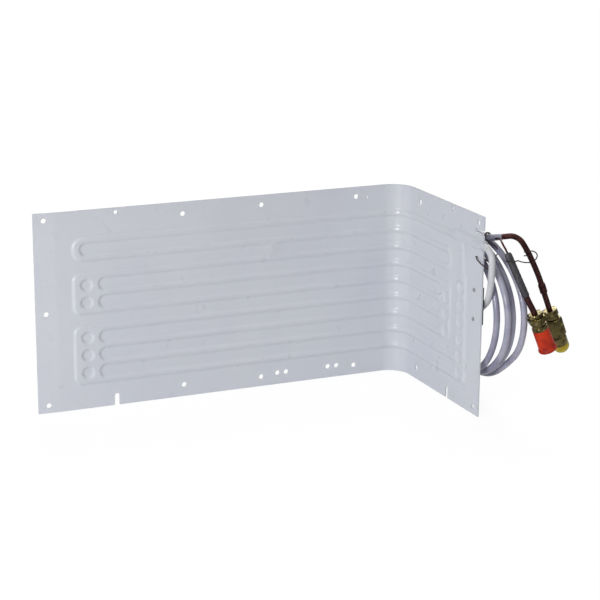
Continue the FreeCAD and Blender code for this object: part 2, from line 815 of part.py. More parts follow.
# Stub tube: painted aluminium, pressed into the mouth, bent down and back behind the panel.
mouth_axis = -float(size.sheet_gauge) / 2
mouth_rise = float(size.mouth_height)
clip_top = float(size.clip_gauge + size.clip_lip)
stub_x = clip_top + stub_radius + line_gap * 2
stub_end = Vector(stub_x + 1.5, coil_side + 39.5, coil_height - 0.2)
stub_run = unit(Vector(1.5, 24.0, -15.7))
stub_route = (
    (mouth_axis, 10.3 - reach, mouth_rise),
    (mouth_axis, -16.2 - reach, mouth_rise),
    (0.6, -14.7 - reach, (mouth_rise + coil_height + 26.0) / 2 - 1.7),
    (stub_radius, coil_side + 3.0, coil_height + 26.0),
    (stub_x, coil_side + 14.9, coil_height + 15.5),
    tuple(stub_end),
)
add_shape("suction_stub", tube_shape(stub_route, stub_radius, stub_radius - float(size.stub_wall)))

# Coiled line: copper tube and capillary in one pale sleeve, four and a half turns behind the panel.
# Each station gives the turn in degrees from the bottom, then how far the line strays from the first
# turn's place and radius, in diameters of the line.
STATIONS = (
    (0, -0.35, -2.95), (90, -0.5, -0.23), (180, -0.5, 0.38), (270, 0.0, 0.0), (315, -0.26, 0.08),
    (360, -0.27, -0.98), (450, -0.2, 0.98), (540, -0.5, 1.47), (630, 0.56, 2.5), (675, 0.73, 0.63),
    (720, 0.79, -0.45), (810, 0.94, -0.23), (900, 0.61, 0.38), (990, 1.8, 1.97), (1035, 1.82, 0.38),
    (1080, 1.86, -0.08), (1170, 1.47, 0.91), (1260, 0.59, 1.5), (1350, 2.77, 2.88), (1395, 2.92, 0.15),
    (1440, 2.95, 0.38), (1530, 1.92, 2.2), (1620, 0.03, 2.71),
)
TURN_STEP = 30


def station_at(turn):
    """The place along X and the radius at a turn, eased between the stations either side."""
    here, after = STATIONS[:2]
    for here, after in zip(STATIONS, STATIONS[1:]):
        if turn <= after[0]:
            break
    share = min(max((turn - here[0]) / (after[0] - here[0]), 0.0), 1.0)
    eased = (1 - math.cos(math.pi * share)) / 2
    place, stray = (a + (b - a) * eased for a, b in zip(here[1:], after[1:]))
    return coil_place + place * line_radius * 2, coil_radius + stray * line_radius * 2


def coil_point(turn, place, radius):
    angle = math.radians(turn)
    return (place, coil_axis + radius * math.sin(angle), coil_height - radius * math.cos(angle))


coil_route = [tuple(stub_end + stub_run), tuple(stub_end + stub_run * 16)]
turn = -TURN_STEP / 2
while turn < STATIONS[-1][0]:
    place, radius = station_at(turn)
    coil_route.append(coil_point(turn, place, radius / math.cos(math.radians(TURN_STEP / 2))))
    turn += TURN_STEP
coil_end = from_coil(14.7, 23.0, 11.7)
coil_route += [tuple(from_coil(0.4, 43.5, 15.3)), tuple(from_coil(0.7, 30.0, 11.7)), tuple(coil_end)]
add_shape("line_coil", tube_shape(coil_route, line_radius))
coil_run = unit(coil_end - Vector(*coil_route[-2]))

# Black sleeve over the joint of the stub and the line.
sleeve_length = float(size.joint_sleeve_length)
sleeve_start = stub_end - stub_run * sleeve_length * 0.5
joint_bore = max(line_radius, stub_radius) + float(size.fit_gap)
add_shape(
    "joint_sleeve",
    tube_shape(
        (tuple(sleeve_start), tuple(sleeve_start + stub_run * sleeve_length * 0.85)),
        joint_bore + float(size.joint_sleeve_wall),
        joint_bore,
    ),
)

# Rear copper: the bare end of the line, swaged to a bell over the spigot of the rear coupling.
rear_top = from_coil(65.0, 10.5, -65.1)
rear_axis = unit(Vector(16.7, 0.0, -42.2))
rear_radius = float(size.rear_tube) / 2
wall = float(size.tube_wall)
bell_start = from_coil(50.7, 10.5, -28.5)
bell_axis = unit(rear_top - rear_axis * 14 - bell_start)
tail_route = (
    tuple(coil_end),
    tuple(coil_end + coil_run * 4),
    tuple(from_coil(23.9, 17.5, 12.4)),
    tuple(from_coil(31.0, 14.5, 8.7)),
    tuple(from_coil(35.9, 12.5, 0.5)),
    tuple(from_coil(41.2, 11.5, -9.0)),
    tuple(bell_start),
    tuple(bell_start + bell_axis * 8),
)
tail = tube_shape(tail_route, rear_radius, rear_radius - wall)
bell_length = float(size.bell_length)
bell_lead = float(size.bell_lead)
bell_bore = rear_radius + float(size.fit_gap)
bell_size = bell_bore + float(size.bell_wall)
neck = Vector(*tail_route[-1])
cone = Part.makeCone(rear_radius, bell_size, bell_lead, neck, bell_axis)
cone = cone.cut(Part.makeCone(rear_radius - wall, bell_bore, bell_lead, neck, bell_axis))
cup = Part.makeCylinder(bell_size, bell_length, neck + bell_axis * bell_lead, bell_axis)
cup = cup.cut(Part.makeCylinder(bell_bore, bell_length, neck + bell_axis * bell_lead, bell_axis))
add_shape("suction_tail", tail.fuse(cone).fuse(cup).removeSplitter())
spigot_start = neck + bell_axis * (bell_lead + 0.5)
spigot_end = rear_top + rear_axis * (float(size.socket_depth) - 0.3)
add_shape(
    "suction_spigot",
    tube_shape(
        (tuple(spigot_start), tuple(rear_top - rear_axis * 12), tuple(spigot_end)),
        rear_radius,
        rear_radius - wall,
    ),
)

# Front line: the capillary leaves the sleeve, runs to a black shrink sleeve and on to the coupling.
front_top = from_coil(26.55, -25.5, -55.85)
front_axis = unit(Vector(16.75, 0.0, -37.65))
front_radius = float(size.front_tube) / 2
capillary_radius = float(size.capillary_size) / 2
side_way = unit(Vector(-0.447, -0.894, 0.0))
exit_point = coil_end - coil_run * 5.6
sleeve_top = from_coil(1.9, -11.5, 3.7)
sleeve_lean = unit(Vector(7.1, -6.0, -19.7))
sleeve_mid = sleeve_top + sleeve_lean * 21.8
sleeve_bottom = from_coil(17.0, -23.5, -37.3)
capillary_route = (
    tuple(exit_point + side_way * (line_radius + 0.15)),
    tuple(exit_point + side_way * (line_radius + 3.2)),
    tuple(from_coil(6.1, 11.5, 13.0)),
    tuple(from_coil(0.9, -0.5, 13.7)),
    tuple(from_coil(-1.7, -8.2, 11.9)),
    tuple(sleeve_top - sleeve_lean * 3),
    tuple(sleeve_top + sleeve_lean * 4),
)
add_shape("capillary", tube_shape(capillary_route, capillary_radius, sides=8))
sleeve_fall = unit(sleeve_bottom - sleeve_mid)
liquid_route = (
    tuple(sleeve_top),
    tuple(sleeve_mid),
    tuple(sleeve_bottom + sleeve_fall * 5.6),
    tuple(front_top - front_axis * 4),
    tuple(front_top + front_axis * (float(size.socket_depth) - 0.3)),
)
add_shape("liquid_tail", tube_shape(liquid_route, front_radius, front_radius - wall, lead=8.0))
shrink_bore = front_radius + float(size.fit_gap)
shrink_route = (tuple(sleeve_top), tuple(sleeve_mid), tuple(sleeve_bottom))
shrink = tube_shape(shrink_route, shrink_bore + float(size.shrink_wall))
hollow = swept(bent_wire(shrink_route, lead=1.0), shrink_bore / math.cos(math.pi / 12), 12)
entry = Part.makeCylinder(capillary_radius + 0.1, 3.0, sleeve_top - sleeve_lean, sleeve_lean)
add_shape("strainer_sleeve", shrink.cut(hollow).cut(entry))

# Tie wires, twisted on by hand: through the panel's small hole, round the turns and across the tails.
wire_radius = float(size.wire_size) / 2
tie_hole = float(size.tie_hole_inset) - reach
tie_rise = float(size.tie_hole_height)
tie_out = stub_radius + wire_radius + 0.9
plate_tie_route = (
    (-5.0, tie_hole + 3.0, tie_rise - 2.0),
    (-3.4, tie_hole, tie_rise),
    (3.0, tie_hole, tie_rise),
    (tie_out + 0.65, -6.0 - reach, tie_rise),
    (tie_out - 0.15, -15.2 - tie_out + 0.75 - reach, tie_rise),
    (-tie_out - 0.15, -15.6 - tie_out + 0.75 - reach, tie_rise - 0.6),
    (-tie_out - 0.25, -11.0 - reach, tie_rise - 1.0),
)
add_shape("plate_tie", tube_shape(plate_tie_route, wire_radius, sides=8))
bundle_turn = 212
bundle_route = [
    coil_point(bundle_turn, coil_place + place * line_radius * 2, coil_radius + stray * line_radius * 2)
    for place, stray in ((-1.23, -0.62), (2.08, -0.62), (2.08, 2.89), (-1.23, 2.89))
]
add_shape("bundle_tie", tube_shape(bundle_route, wire_radius, closed=True, sides=8))
tail_tie_route = (
    from_coil(8.5, -7.8, -8.5),
    from_coil(1.7, -9.3, -7.7),
    from_coil(1.3, -18.8, -6.9),
    from_coil(10.2, -20.3, -6.5),
    from_coil(15.7, -10.8, -6.3),
    from_coil(35.7, 6.0, -7.3),
    from_coil(45.1, 6.6, -7.5),
    from_coil(46.3, 15.6, -6.1),
    from_coil(35.9, 16.6, -4.1),
    from_coil(32.3, 10.0, -2.9),
)
add_shape("tail_tie", tube_shape(tail_tie_route, wire_radius, sides=8))


# Sensor clip: black moulded channel on the back of the short side, held by two studs.
def make_clip():
    body = new_body("sensor_clip")
    middle = short(size.short_side - size.clip_hole_inset + 2.0)
    half = size.clip_width / 2
    low = size.clip_hole_low - size.clip_end
    base = size.clip_gauge
    top = base + size.clip_lip
    outline = new_sketch(body, "clip_outline", "XY_Plane", low)
    add_polygon(
        outline,
        (
            (0.0, middle - half),
            (top, middle - half),
            (top, middle - half + base),
            (base, middle - half + base),
            (base, middle + half - base),
            (top, middle + half - base),
            (top, middle + half),
            (0.0, middle + half),
        ),
    )
    pad(body, outline, "clip_channel", size.clip_hole_high - size.clip_hole_low + size.clip_end * 2)
    stud = short(size.short_side - size.clip_hole_inset)
    studs = new_sketch(body, "clip_studs", "YZ_Plane", 0.2)
    heads = new_sketch(body, "clip_heads", "YZ_Plane", -size.sheet_gauge)
    for height in (size.clip_hole_low, size.clip_hole_high):
        add_circle(studs, stud, height, size.small_hole / 2 - size.fit_gap * 1.5)
        add_circle(heads, stud, height, size.small_hole * 0.7)
    pad(body, studs, "clip_shanks", size.sheet_gauge + 0.4, reverse=True)
    pad(body, heads, "clip_snaps", 0.8, reverse=True, draft=-30.0)
    return body


make_clip()


# Couplings: each is modelled upright from its tube end and then laid along its own axis.


def lay(body, top, axis, spin=0.0):
    upright = FreeCAD.Rotation(Vector(0, 0, 1), axis)
    body.Placement = FreeCAD.Placement(top, upright.multiply(FreeCAD.Rotation(Vector(0, 0, 1), spin)))
    return body


def make_adapter(label, tube, boss, spigot, hexagon=None):
    """The brazed end: a boss with the tube's socket, and a spigot pressed into the body."""
    body = new_body(label)
    foot = size.boss_length
    spigot_start = foot + hexagon[1] if hexagon else foot
    end = spigot_start + (4.0 if hexagon else size.socket_depth)
    turned(
        body,
        "adapter_form",
        (
            (0.0, 0.0),
            (boss / 2, 0.0),
            (boss / 2, spigot_start),
            (spigot / 2, spigot_start),
            (spigot / 2, end),
            (0.0, end),
        ),
    )
    if hexagon:
        flats = new_sketch(body, "adapter_hexagon", "XY_Plane", foot)
        add_hexagon(flats, hexagon[0])
        pad(body, flats, "adapter_flats", hexagon[1])
    bore = tube / 2 - size.tube_wall
    socket = tube / 2 + size.fit_gap / 2
    turned(
        body,
        "adapter_bore",
        (
            (0.0, 0.0),
            (socket, 0.0),
            (socket, size.socket_depth),
            (bore, size.socket_depth),
            (bore, end),
            (0.0, end),
        ),
        cut=True,
    )
    return body


def make_poppet(label, back, stem_length, head, head_length, nose, tip):
    """A valve poppet: a stem inside the spring, a grooved head and a nose in the mouth."""
    body = new_body(label)
    stem = 1.6
    front = back + stem_length
    groove = head_length / 3
    end = front + head_length
    turned(
        body,
        "poppet_form",
        (
            (0.0, back),
            (stem, back),
            (stem, front),
            (head, front),
            (head, front + groove),
            (head * 0.85, front + groove),
            (head * 0.85, front + groove * 2),
            (head, front + groove * 2),
            (head, end),
            (nose, end + (head - nose)),
            (nose, tip),
            (0.0, tip),
        ),
    )
    return body, front + groove, groove, head * 0.85


def make_seal(label, start, groove, inner, chamber):
    body = new_body(label)
    gap = size.fit_gap / 2
    outer = chamber / 2 - gap * 3
    turned(
        body,
        "seal_form",
        (
            (inner + gap, start + gap),
            (outer - gap, start + gap),
            (outer, start + groove / 2),
            (outer - gap, start + groove - gap),
            (inner + gap, start + groove - gap),
        ),
    )
    return body


def spring_shape(radius, wire, bottom, top, turns):
    """A wound spring, drawn with eight straight lengths to the turn."""
    corners = 8
    reach_out = radius / math.cos(math.pi / corners)
    count = int(turns * corners)
    points = []
    for step in range(count + 1):
        angle = 2 * math.pi * step / corners
        rise = bottom + (top - bottom) * step / count
        points.append(Vector(reach_out * math.cos(angle), reach_out * math.sin(angle), rise))
    return swept(Part.makePolygon(points), wire, 6, mitred=True)


def place_on(item, top, axis):
    item.Placement = FreeCAD.Placement(top, FreeCAD.Rotation(Vector(0, 0, 1), axis))


# Front coupling: the threaded half, under a red cap.
front_spigot = size.chamber_size - size.fit_gap
lay(make_adapter("male_adapter", size.front_tube, size.front_boss, front_spigot), front_top, front_axis)

male = new_body("male_body")
base = size.boss_length
neck_start = base + size.front_hex_length
shoulder_start = neck_start + size.neck_length
thread_start = shoulder_start + size.shoulder_length
male_end = thread_start + size.thread_length
mouth_start = male_end - size.front_mouth_length
hexagon = new_sketch(male, "male_hexagon", "XY_Plane", base)
add_hexagon(hexagon, size.front_hex)
pad(male, hexagon, "male_flats", size.front_hex_length)
turned(
    male,
    "male_form",
    (
        (0.0, neck_start - 0.5),
        (size.neck_size / 2, neck_start - 0.5),
        (size.neck_size / 2, shoulder_start),
        (size.shoulder_size / 2, shoulder_start),
        (size.shoulder_size / 2, thread_start),
        (size.thread_size / 2, thread_start),
        (size.thread_size / 2, male_end - 0.9),
        (size.thread_size / 2 - 0.9, male_end),
        (0.0, male_end),
    ),
)
chamber = size.chamber_size / 2
step_in = chamber - size.front_mouth / 2
turned(
    male,
    "male_bore",
    (
        (0.0, base),
        (chamber, base),
        (chamber, mouth_start - step_in),
        (size.front_mouth / 2, mouth_start),
        (size.front_mouth / 2, male_end),
        (0.0, male_end),
    ),
    cut=True,
)
lay(male, front_top, front_axis)

poppet, groove_at, groove, seat = make_poppet(
    "male_poppet",
    size.boss_length + size.socket_depth + size.poppet_stroke + 1.0,
    15.0,
    size.chamber_size / 2 - size.running_gap,
    2.4,
    size.front_mouth / 2 - size.running_gap,
    male_end - 1.5,
)
lay(poppet, front_top, front_axis)
lay(make_seal("male_seal", groove_at, groove, seat, size.chamber_size), front_top, front_axis)
spring_wire = float(size.spring_wire) / 2
male_floor = float(size.boss_length + size.socket_depth)
male_back = float(size.boss_length + size.socket_depth + size.poppet_stroke + 1.0) + 15.0
item = add_shape(
    "male_spring",
    spring_shape(3.6, spring_wire, male_floor + spring_wire + 0.1, male_back - spring_wire - 0.1, 6),
)
place_on(item, front_top, front_axis)

cap = new_body("male_cap")
cap_bore = size.thread_size / 2 + size.fit_gap
cap_size = cap_bore + size.cap_wall
cap_start = thread_start + size.cap_start
cap_end = male_end + 3.5
turned(
    cap,
    "cap_form",
    (
        (0.0, cap_start),
        (cap_size, cap_start),
        (cap_size, cap_end - size.cap_rim_length),
        (cap_size + size.cap_rim, cap_end - size.cap_rim_length),
        (cap_size + size.cap_rim, cap_end - 0.6),
        (cap_size + size.cap_rim - 0.6, cap_end),
        (0.0, cap_end),
    ),
)
turned(
    cap,
    "cap_bore",
    (
        (0.0, cap_start),
        (cap_bore, cap_start),
        (cap_bore, cap_end - size.cap_wall * 1.5),
        (0.0, cap_end - size.cap_wall * 1.5),
    ),
    cut=True,
)
lay(cap, front_top, front_axis)

# Rear coupling: the half with the union nut, under a yellow plug.
rear_chamber = size.chamber_size + size.wire_size * 0.7
lay(
    make_adapter(
        "female_adapter",
        size.rear_tube,
        size.rear_boss,
        rear_chamber - size.fit_gap,
        (size.rear_hex, size.rear_hex_length),
    ),
    rear_top,
    rear_axis,
)

female = new_body("female_body")
rear_start = size.boss_length + size.rear_hex_length
ring_at = rear_start + 0.6
lip_start = ring_at + size.ring_wire + 0.4
flange_start = lip_start + size.nut_lip + 0.3
flange_end = flange_start + size.flange_length
rear_end = flange_end + size.nose_length
shank = size.rear_body / 2
turned(
    female,
    "female_form",
    (
        (0.0, rear_start),
        (shank, rear_start),
        (shank, ring_at),
        (shank - size.ring_wire / 2, ring_at),
        (shank - size.ring_wire / 2, ring_at + size.ring_wire + 0.1),
        (shank, ring_at + size.ring_wire + 0.1),
        (shank, flange_start),
        (size.rear_flange / 2, flange_start),
        (size.rear_flange / 2, flange_end),
        (shank, flange_end),
        (shank, rear_end - 3.4),
        (shank - 0.6, rear_end - 3.4),
        (shank - 0.6, rear_end),
        (0.0, rear_end),
    ),
)
rear_seat = rear_end - 4.2
rear_mouth = size.rear_mouth / 2
turned(
    female,
    "female_bore",
    (
        (0.0, rear_start),
        (rear_chamber / 2, rear_start),
        (rear_chamber / 2, rear_seat - (rear_chamber / 2 - rear_mouth)),
        (rear_mouth, rear_seat),
        (rear_mouth, rear_end),
        (0.0, rear_end),
    ),
    cut=True,
)
lay(female, rear_top, rear_axis)

ring = new_body("nut_ring")
turned(
    ring,
    "ring_form",
    (
        (shank - size.ring_wire / 2 + 0.05, ring_at + 0.05),
        (shank + size.ring_wire, ring_at + 0.05),
        (shank + size.ring_wire, ring_at + size.ring_wire),
        (shank - size.ring_wire / 2 + 0.05, ring_at + size.ring_wire),
    ),
)
lay(ring, rear_top, rear_axis)

nut = new_body("union_nut")
hex_end = lip_start + size.nut_hex_length
nut_end = hex_end + size.nut_skirt_length
nut_bore = size.rear_flange / 2 + size.running_gap
hexagon = new_sketch(nut, "nut_hexagon", "XY_Plane", lip_start)
add_hexagon(hexagon, size.nut_hex)
pad(nut, hexagon, "nut_flats", size.nut_hex_length)
turned(
    nut,
    "nut_skirt_form",
    (
        (0.0, hex_end - 0.5),
        (size.nut_skirt / 2, hex_end - 0.5),
        (size.nut_skirt / 2, nut_end - 0.4),
        (size.nut_skirt / 2 - 0.4, nut_end),
        (0.0, nut_end),
    ),
)
turned(
    nut,
    "nut_bore_form",
    (
        (0.0, lip_start),
        (shank + size.running_gap, lip_start),
        (shank + size.running_gap, lip_start + size.nut_lip),
        (nut_bore, lip_start + size.nut_lip),
        (nut_bore, nut_end),
        (0.0, nut_end),
    ),
    cut=True,
)
lay(nut, rear_top, rear_axis, 8.0)

rear_back = rear_start + 4.0 + size.poppet_stroke + 0.5
poppet, groove_at, groove, seat = make_poppet(
    "female_poppet",
    rear_back,
    4.5,
    rear_chamber / 2 - size.running_gap,
    2.1,
    rear_mouth - size.running_gap,
    rear_end - 0.4,
)
lay(poppet, rear_top, rear_axis)
lay(make_seal("female_seal", groove_at, groove, seat, rear_chamber), rear_top, rear_axis)
rear_floor = float(rear_start) + 4.0
item = add_shape(
    "female_spring",
    spring_shape(
        3.6, spring_wire, rear_floor + spring_wire + 0.1, float(rear_back) + 4.4 - spring_wire, 3
    ),
)
place_on(item, rear_top, rear_axis)

plug = new_body("female_plug")
plug_start = nut_end + 0.2
plug_edge = plug_start + size.plug_flange_length
plug_end = plug_edge + size.plug_dome
plug_bore = nut_bore - size.fit_gap * 1.5
flange = size.plug_flange / 2
turned(
    plug,
    "plug_form",
    (
        (0.0, plug_start - 5.0),
        (plug_bore - 0.5, plug_start - 5.0),
        (plug_bore, plug_start - 4.0),
        (plug_bore, plug_start),
        (flange - 0.4, plug_start),
        (flange, plug_start + 0.4),
        (flange, plug_edge - 0.8),
        (flange - 0.8, plug_edge),
        (flange * 0.62, plug_edge + size.plug_dome * 0.35),
        (flange * 0.5, plug_end - 0.5),
        (flange * 0.38, plug_end),
        (0.0, plug_end),
    ),
)
turned(
    plug,
    "plug_hollow",
    (
        (0.0, plug_start - 5.0),
        (plug_bore - size.plug_wall, plug_start - 5.0),
        (plug_bore - size.plug_wall, plug_edge - size.plug_wall),
        (0.0, plug_edge - size.plug_wall),
    ),
    cut=True,
)
lay(plug, rear_top, rear_axis, 8.0)

# Checks and export
doc.recompute()
PARTS = (
    "evaporator_plate", "suction_stub", "sensor_clip", "joint_sleeve", "line_coil", "suction_tail",
    "suction_spigot", "capillary", "strainer_sleeve", "liquid_tail", "plate_tie", "bundle_tie",
    "tail_tie", "male_adapter", "male_body", "male_poppet", "male_spring", "male_seal", "male_cap",
    "female_adapter", "female_body", "nut_ring", "union_nut", "female_poppet", "female_spring",
    "female_seal", "female_plug",
)
for item in doc.Objects:
    if "Invalid" in item.State or "Error" in item.State:
        raise RuntimeError(f"{item.Label} did not build: {item.State}")
os.makedirs("parts", exist_ok=True)
for label in PARTS:
    item = doc.getObjectsByLabel(label)[0]
    if item.Shape.isNull() or not item.Shape.isValid() or len(item.Shape.Solids) != 1:
        raise RuntimeError(f"{label} is not one sound solid")
    item.Shape.exportStep(f"parts/{label}.step")
    print(label, round(item.Shape.Volume, 1))
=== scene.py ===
import math

import bmesh
import bpy
import numpy as np
from mathutils import Matrix, Vector
from mathutils.geometry import delaunay_2d_cdt


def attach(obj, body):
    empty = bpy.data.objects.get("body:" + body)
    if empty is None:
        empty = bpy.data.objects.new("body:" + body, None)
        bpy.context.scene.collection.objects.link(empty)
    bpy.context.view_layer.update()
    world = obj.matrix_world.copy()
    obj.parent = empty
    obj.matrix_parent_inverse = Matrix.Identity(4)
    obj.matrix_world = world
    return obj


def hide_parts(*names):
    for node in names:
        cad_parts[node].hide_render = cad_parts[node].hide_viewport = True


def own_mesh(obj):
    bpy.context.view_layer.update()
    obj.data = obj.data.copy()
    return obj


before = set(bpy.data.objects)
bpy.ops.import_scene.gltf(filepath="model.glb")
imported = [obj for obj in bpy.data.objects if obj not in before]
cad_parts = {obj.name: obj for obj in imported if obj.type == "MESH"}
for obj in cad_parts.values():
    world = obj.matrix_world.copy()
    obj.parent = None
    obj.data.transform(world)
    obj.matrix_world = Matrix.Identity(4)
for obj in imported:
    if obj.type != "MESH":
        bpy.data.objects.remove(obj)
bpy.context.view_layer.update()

# Room: a white studio with a seamless floor and soft lamps. The camera stands to the left of the open
# side of the L, a little above it, and looks down its long side, as in a catalogue picture.
camera_spot = Vector((-0.8437, -1.6474, 0.5874))
camera_turn, camera_dip, camera_tilt = math.radians(-23.826), math.radians(15.542), math.radians(0.425)
camera = bpy.data.objects.new("camera", bpy.data.cameras.new("camera"))
bpy.context.collection.objects.link(camera)
camera.data.sensor_width = 36.0
camera.data.lens = 109.66
camera.data.clip_start = 0.05
camera.data.clip_end = 30.0
camera.matrix_world = (
    Matrix.Translation(camera_spot)
    @ Matrix.Rotation(camera_turn, 4, "Z")
    @ Matrix.Rotation(math.pi / 2 - camera_dip, 4, "X")
    @ Matrix.Rotation(camera_tilt, 4, "Z")
)
bpy.context.scene.camera = camera
bpy.context.scene.view_settings.view_transform = "Standard"


class Wire:
    """The output of a shader node. Sums and products of wires and numbers add the Math nodes."""

    def __init__(self, socket):
        self.socket = socket
        self.tree = socket.id_data

    def make(self, kind, settings, sockets, output=0):
        """Adds any other node: its settings first, then what its sockets hold or are fed by."""
        node = self.tree.nodes.new(kind)
        for name, value in settings.items():
            setattr(node, name, value)
        for name, value in sockets.items():
            if isinstance(value, Wire):
                self.tree.links.new(value.socket, node.inputs[name])
            else:
                node.inputs[name].default_value = value
        return Wire(node.outputs[output])

    def maths(self, operation, first, second=0.0):
        return self.make("ShaderNodeMath", {"operation": operation}, {0: first, 1: second})

    def __add__(self, other):
        return self.maths("ADD", self, other)

    def __radd__(self, other):
        return self.maths("ADD", other, self)

    def __sub__(self, other):
        return self.maths("SUBTRACT", self, other)

    def __rsub__(self, other):
        return self.maths("SUBTRACT", other, self)

    def __mul__(self, other):
        return self.maths("MULTIPLY", self, other)

    def __rmul__(self, other):
        return self.maths("MULTIPLY", other, self)

    def ramp(self, low, high):
        """0 at low, 1 at high, eased between."""
        settings = {"interpolation_type": "SMOOTHSTEP"}
        return self.make("ShaderNodeMapRange", settings, {0: self, 1: low, 2: high, 3: 0.0, 4: 1.0})

    def blend(self, other, share):
        """This colour with a share of another."""
        sockets = {0: share, 6: self, 7: other}
        return self.make("ShaderNodeMix", {"data_type": "RGBA"}, sockets, output=2)

    def noise(self, scale, detail=2.0, stretch=(1.0, 1.0, 1.0)):
        """Cloudy noise at so many waves to the metre, from this wire of coordinates."""
        settings = {"operation": "MULTIPLY"}
        spread = self.make("ShaderNodeVectorMath", settings, {0: self, 1: stretch})
        sockets = {"Vector": spread, "Scale": scale, "Detail": detail, "Roughness": 0.55}
        return self.make("ShaderNodeTexNoise", {}, sockets)

    def colour(self, value):
        """A fixed colour to blend with others."""
        wire = self.make("ShaderNodeRGB", {}, {})
        wire.socket.default_value = value
        return wire

    def bump(self, strength, distance):
        sockets = {"Height": self, "Strength": strength, "Distance": distance}
        return self.make("ShaderNodeBump", {}, sockets)


def new_finish(name, **constants):
    """A material with its constant sockets set. Gives the material, its shader and coordinates."""
    material = bpy.data.materials.new(name)
    material.use_nodes = True
    shader = material.node_tree.nodes["Principled BSDF"]
    for key, value in constants.items():
        shader.inputs[key.replace("_", " ")].default_value = value
    place = material.node_tree.nodes.new("ShaderNodeTexCoord")
    return material, shader, Wire(place.outputs["Object"])


def feed(shader, **wires):
    for key, wire in wires.items():
        wire.tree.links.new(wire.socket, shader.inputs[key.replace("_", " ")])


def rgb(red, green, blue):
    """A colour written as it shows on screen, 0 to 255, in the shader's linear light."""
    linear = []
    for channel in (red, green, blue):
        share = channel / 255
        linear.append(share / 12.92 if share <= 0.04045 else ((share + 0.055) / 1.055) ** 2.4)
    return (*linear, 1.0)


world = bpy.data.worlds.new("studio")
bpy.context.scene.world = world
world.use_nodes = True
rays = world.node_tree.nodes.new("ShaderNodeLightPath")
seen = Wire(rays.outputs["Is Camera Ray"])
seen = seen.maths("MAXIMUM", seen, Wire(rays.outputs["Is Transmission Ray"]))
mirrored = Wire(rays.outputs["Is Glossy Ray"])
sky = Wire(world.node_tree.nodes.new("ShaderNodeTexCoord").outputs["Generated"])
level = sky.make("ShaderNodeSeparateXYZ", {}, {0: sky}, output=2)
ceiling = 0.2 + level.ramp(0.1, 0.85)
ambient = 0.4
backdrop = world.node_tree.nodes["Background"]
backdrop.inputs["Color"].default_value = (1.0, 1.0, 1.0, 1.0)
lit = mirrored * ceiling + (1.0 - mirrored) * ambient
feed(backdrop, Strength=seen + (1.0 - seen) * lit)

floor_reach, floor_drop = 8.0, 0.0004
floor_fade = (0.5, 1.6)
floor_glow_share = 0.86
floor_corners = [
    (across * floor_reach, along * floor_reach, -floor_drop)
    for across, along in ((-1, -1), (1, -1), (1, 1), (-1, 1))
]
floor_mesh = bpy.data.meshes.new("floor")
floor_mesh.from_pydata(floor_corners, [], [(0, 1, 2, 3)])
floor = bpy.data.objects.new("floor", floor_mesh)
bpy.context.collection.objects.link(floor)
floor_paper, floor_shader, floor_place = new_finish(
    "floor_paper", Roughness=1.0, Specular_IOR_Level=0.0
)
away = floor_place.make("ShaderNodeVectorMath", {"operation": "LENGTH"}, {0: floor_place}, output=1)
faded = away.ramp(*floor_fade)
table = floor_place.colour((0.88, 0.88, 0.88, 1.0))
distant = floor_place.colour((0.1, 0.1, 0.1, 1.0))
feed(floor_shader, Base_Color=table.blend(distant, faded))
floor_rays = floor_place.make("ShaderNodeLightPath", {}, {})
brightness = 1.07 + faded * 0.1
glow = floor_place.make("ShaderNodeEmission", {}, {"Color": brightness, "Strength": 1.0})
paper = floor_place.make(
    "ShaderNodeMixShader",
    {},
    {0: floor_rays * floor_glow_share, 1: Wire(floor_shader.outputs[0]), 2: glow},
)
feed(floor_paper.node_tree.nodes["Material Output"], Surface=paper)
floor_mesh.materials.append(floor_paper)

for lamp_name, lamp_spot, lamp_target, width, power in (
    ("window", (-1.75, -1.3, 0.42), (-0.12, -0.05, 0.1), 0.5, 20.0),
    ("flash", (-1.35, -1.6, 0.95), (-0.1, -0.05, 0.1), 0.14, 2.2),
    ("fill", (0.9, -2.2, 1.2), (0.0, -0.1, 0.1), 0.7, 1.5),
    ("back", (0.6, 1.6, 1.7), (-0.1, -0.05, 0.1), 1.4, 20.0),
):
    lamp_data = bpy.data.lights.new(lamp_name, "AREA")
    lamp_data.size = width
    lamp_data.energy = power
    lamp = bpy.data.objects.new(lamp_name, lamp_data)
    lamp.location = lamp_spot
    aim = Vector(lamp_target) - Vector(lamp_spot)
    lamp.rotation_euler = aim.to_track_quat("-Z", "Y").to_euler()
    bpy.context.collection.objects.link(lamp)


# Panel: two aluminium sheets roll-bonded flat, their channels blown up on the inner side only, then
# punched, bent to an L over a former and powder coated white. The crests are soft, and the flat
# islands and round bond spots lie back at the level of the sheet.

# Sizes are in millimetres. The sheet is drawn flat: s runs along it from the free end of the long side
# through the bend to the free end of the short side, and z runs up it.
MM = 0.001
height = 200.0
long_side = 394.0
short_side = 171.3
bend_radius = 23.5
gauge = 1.5
crease = 21.0
crease_angle = math.radians(4.0)
bend_start = long_side - bend_radius
bend_end = bend_start + bend_radius * math.pi / 2
corner = bend_end - bend_radius
sheet_length = corner + short_side
pass_top, pass_pitch, pass_count = 170.35, 17.75, 9
passes = [pass_top - pass_pitch * number for number in range(pass_count)]
channel_width = 8.6
half = channel_width / 2
crest_height, crest_slope = 1.6, 3.4
header_left, header_corner, return_corner, run_corner = 36.0, 9.0, 12.0, 1.0
island_left, island_corner = 64.8, 4.4
run_start, middle, lap, island_lap = 60.0, 250.0, 10.0, 12.0
bond_spot, bond_spot_left = 3.9, 50.7
spot_row_top, spot_row_pitch = 120.8, 17.6
mouth_height, mouth_radius, mouth_taper = 172.5, 4.6, 0.1
mouth_reach, mouth_fade = 22.0, 6.0


def on_short(distance):
    """The place along the developed sheet of a point so far from the corner on the short side."""
    return corner + distance


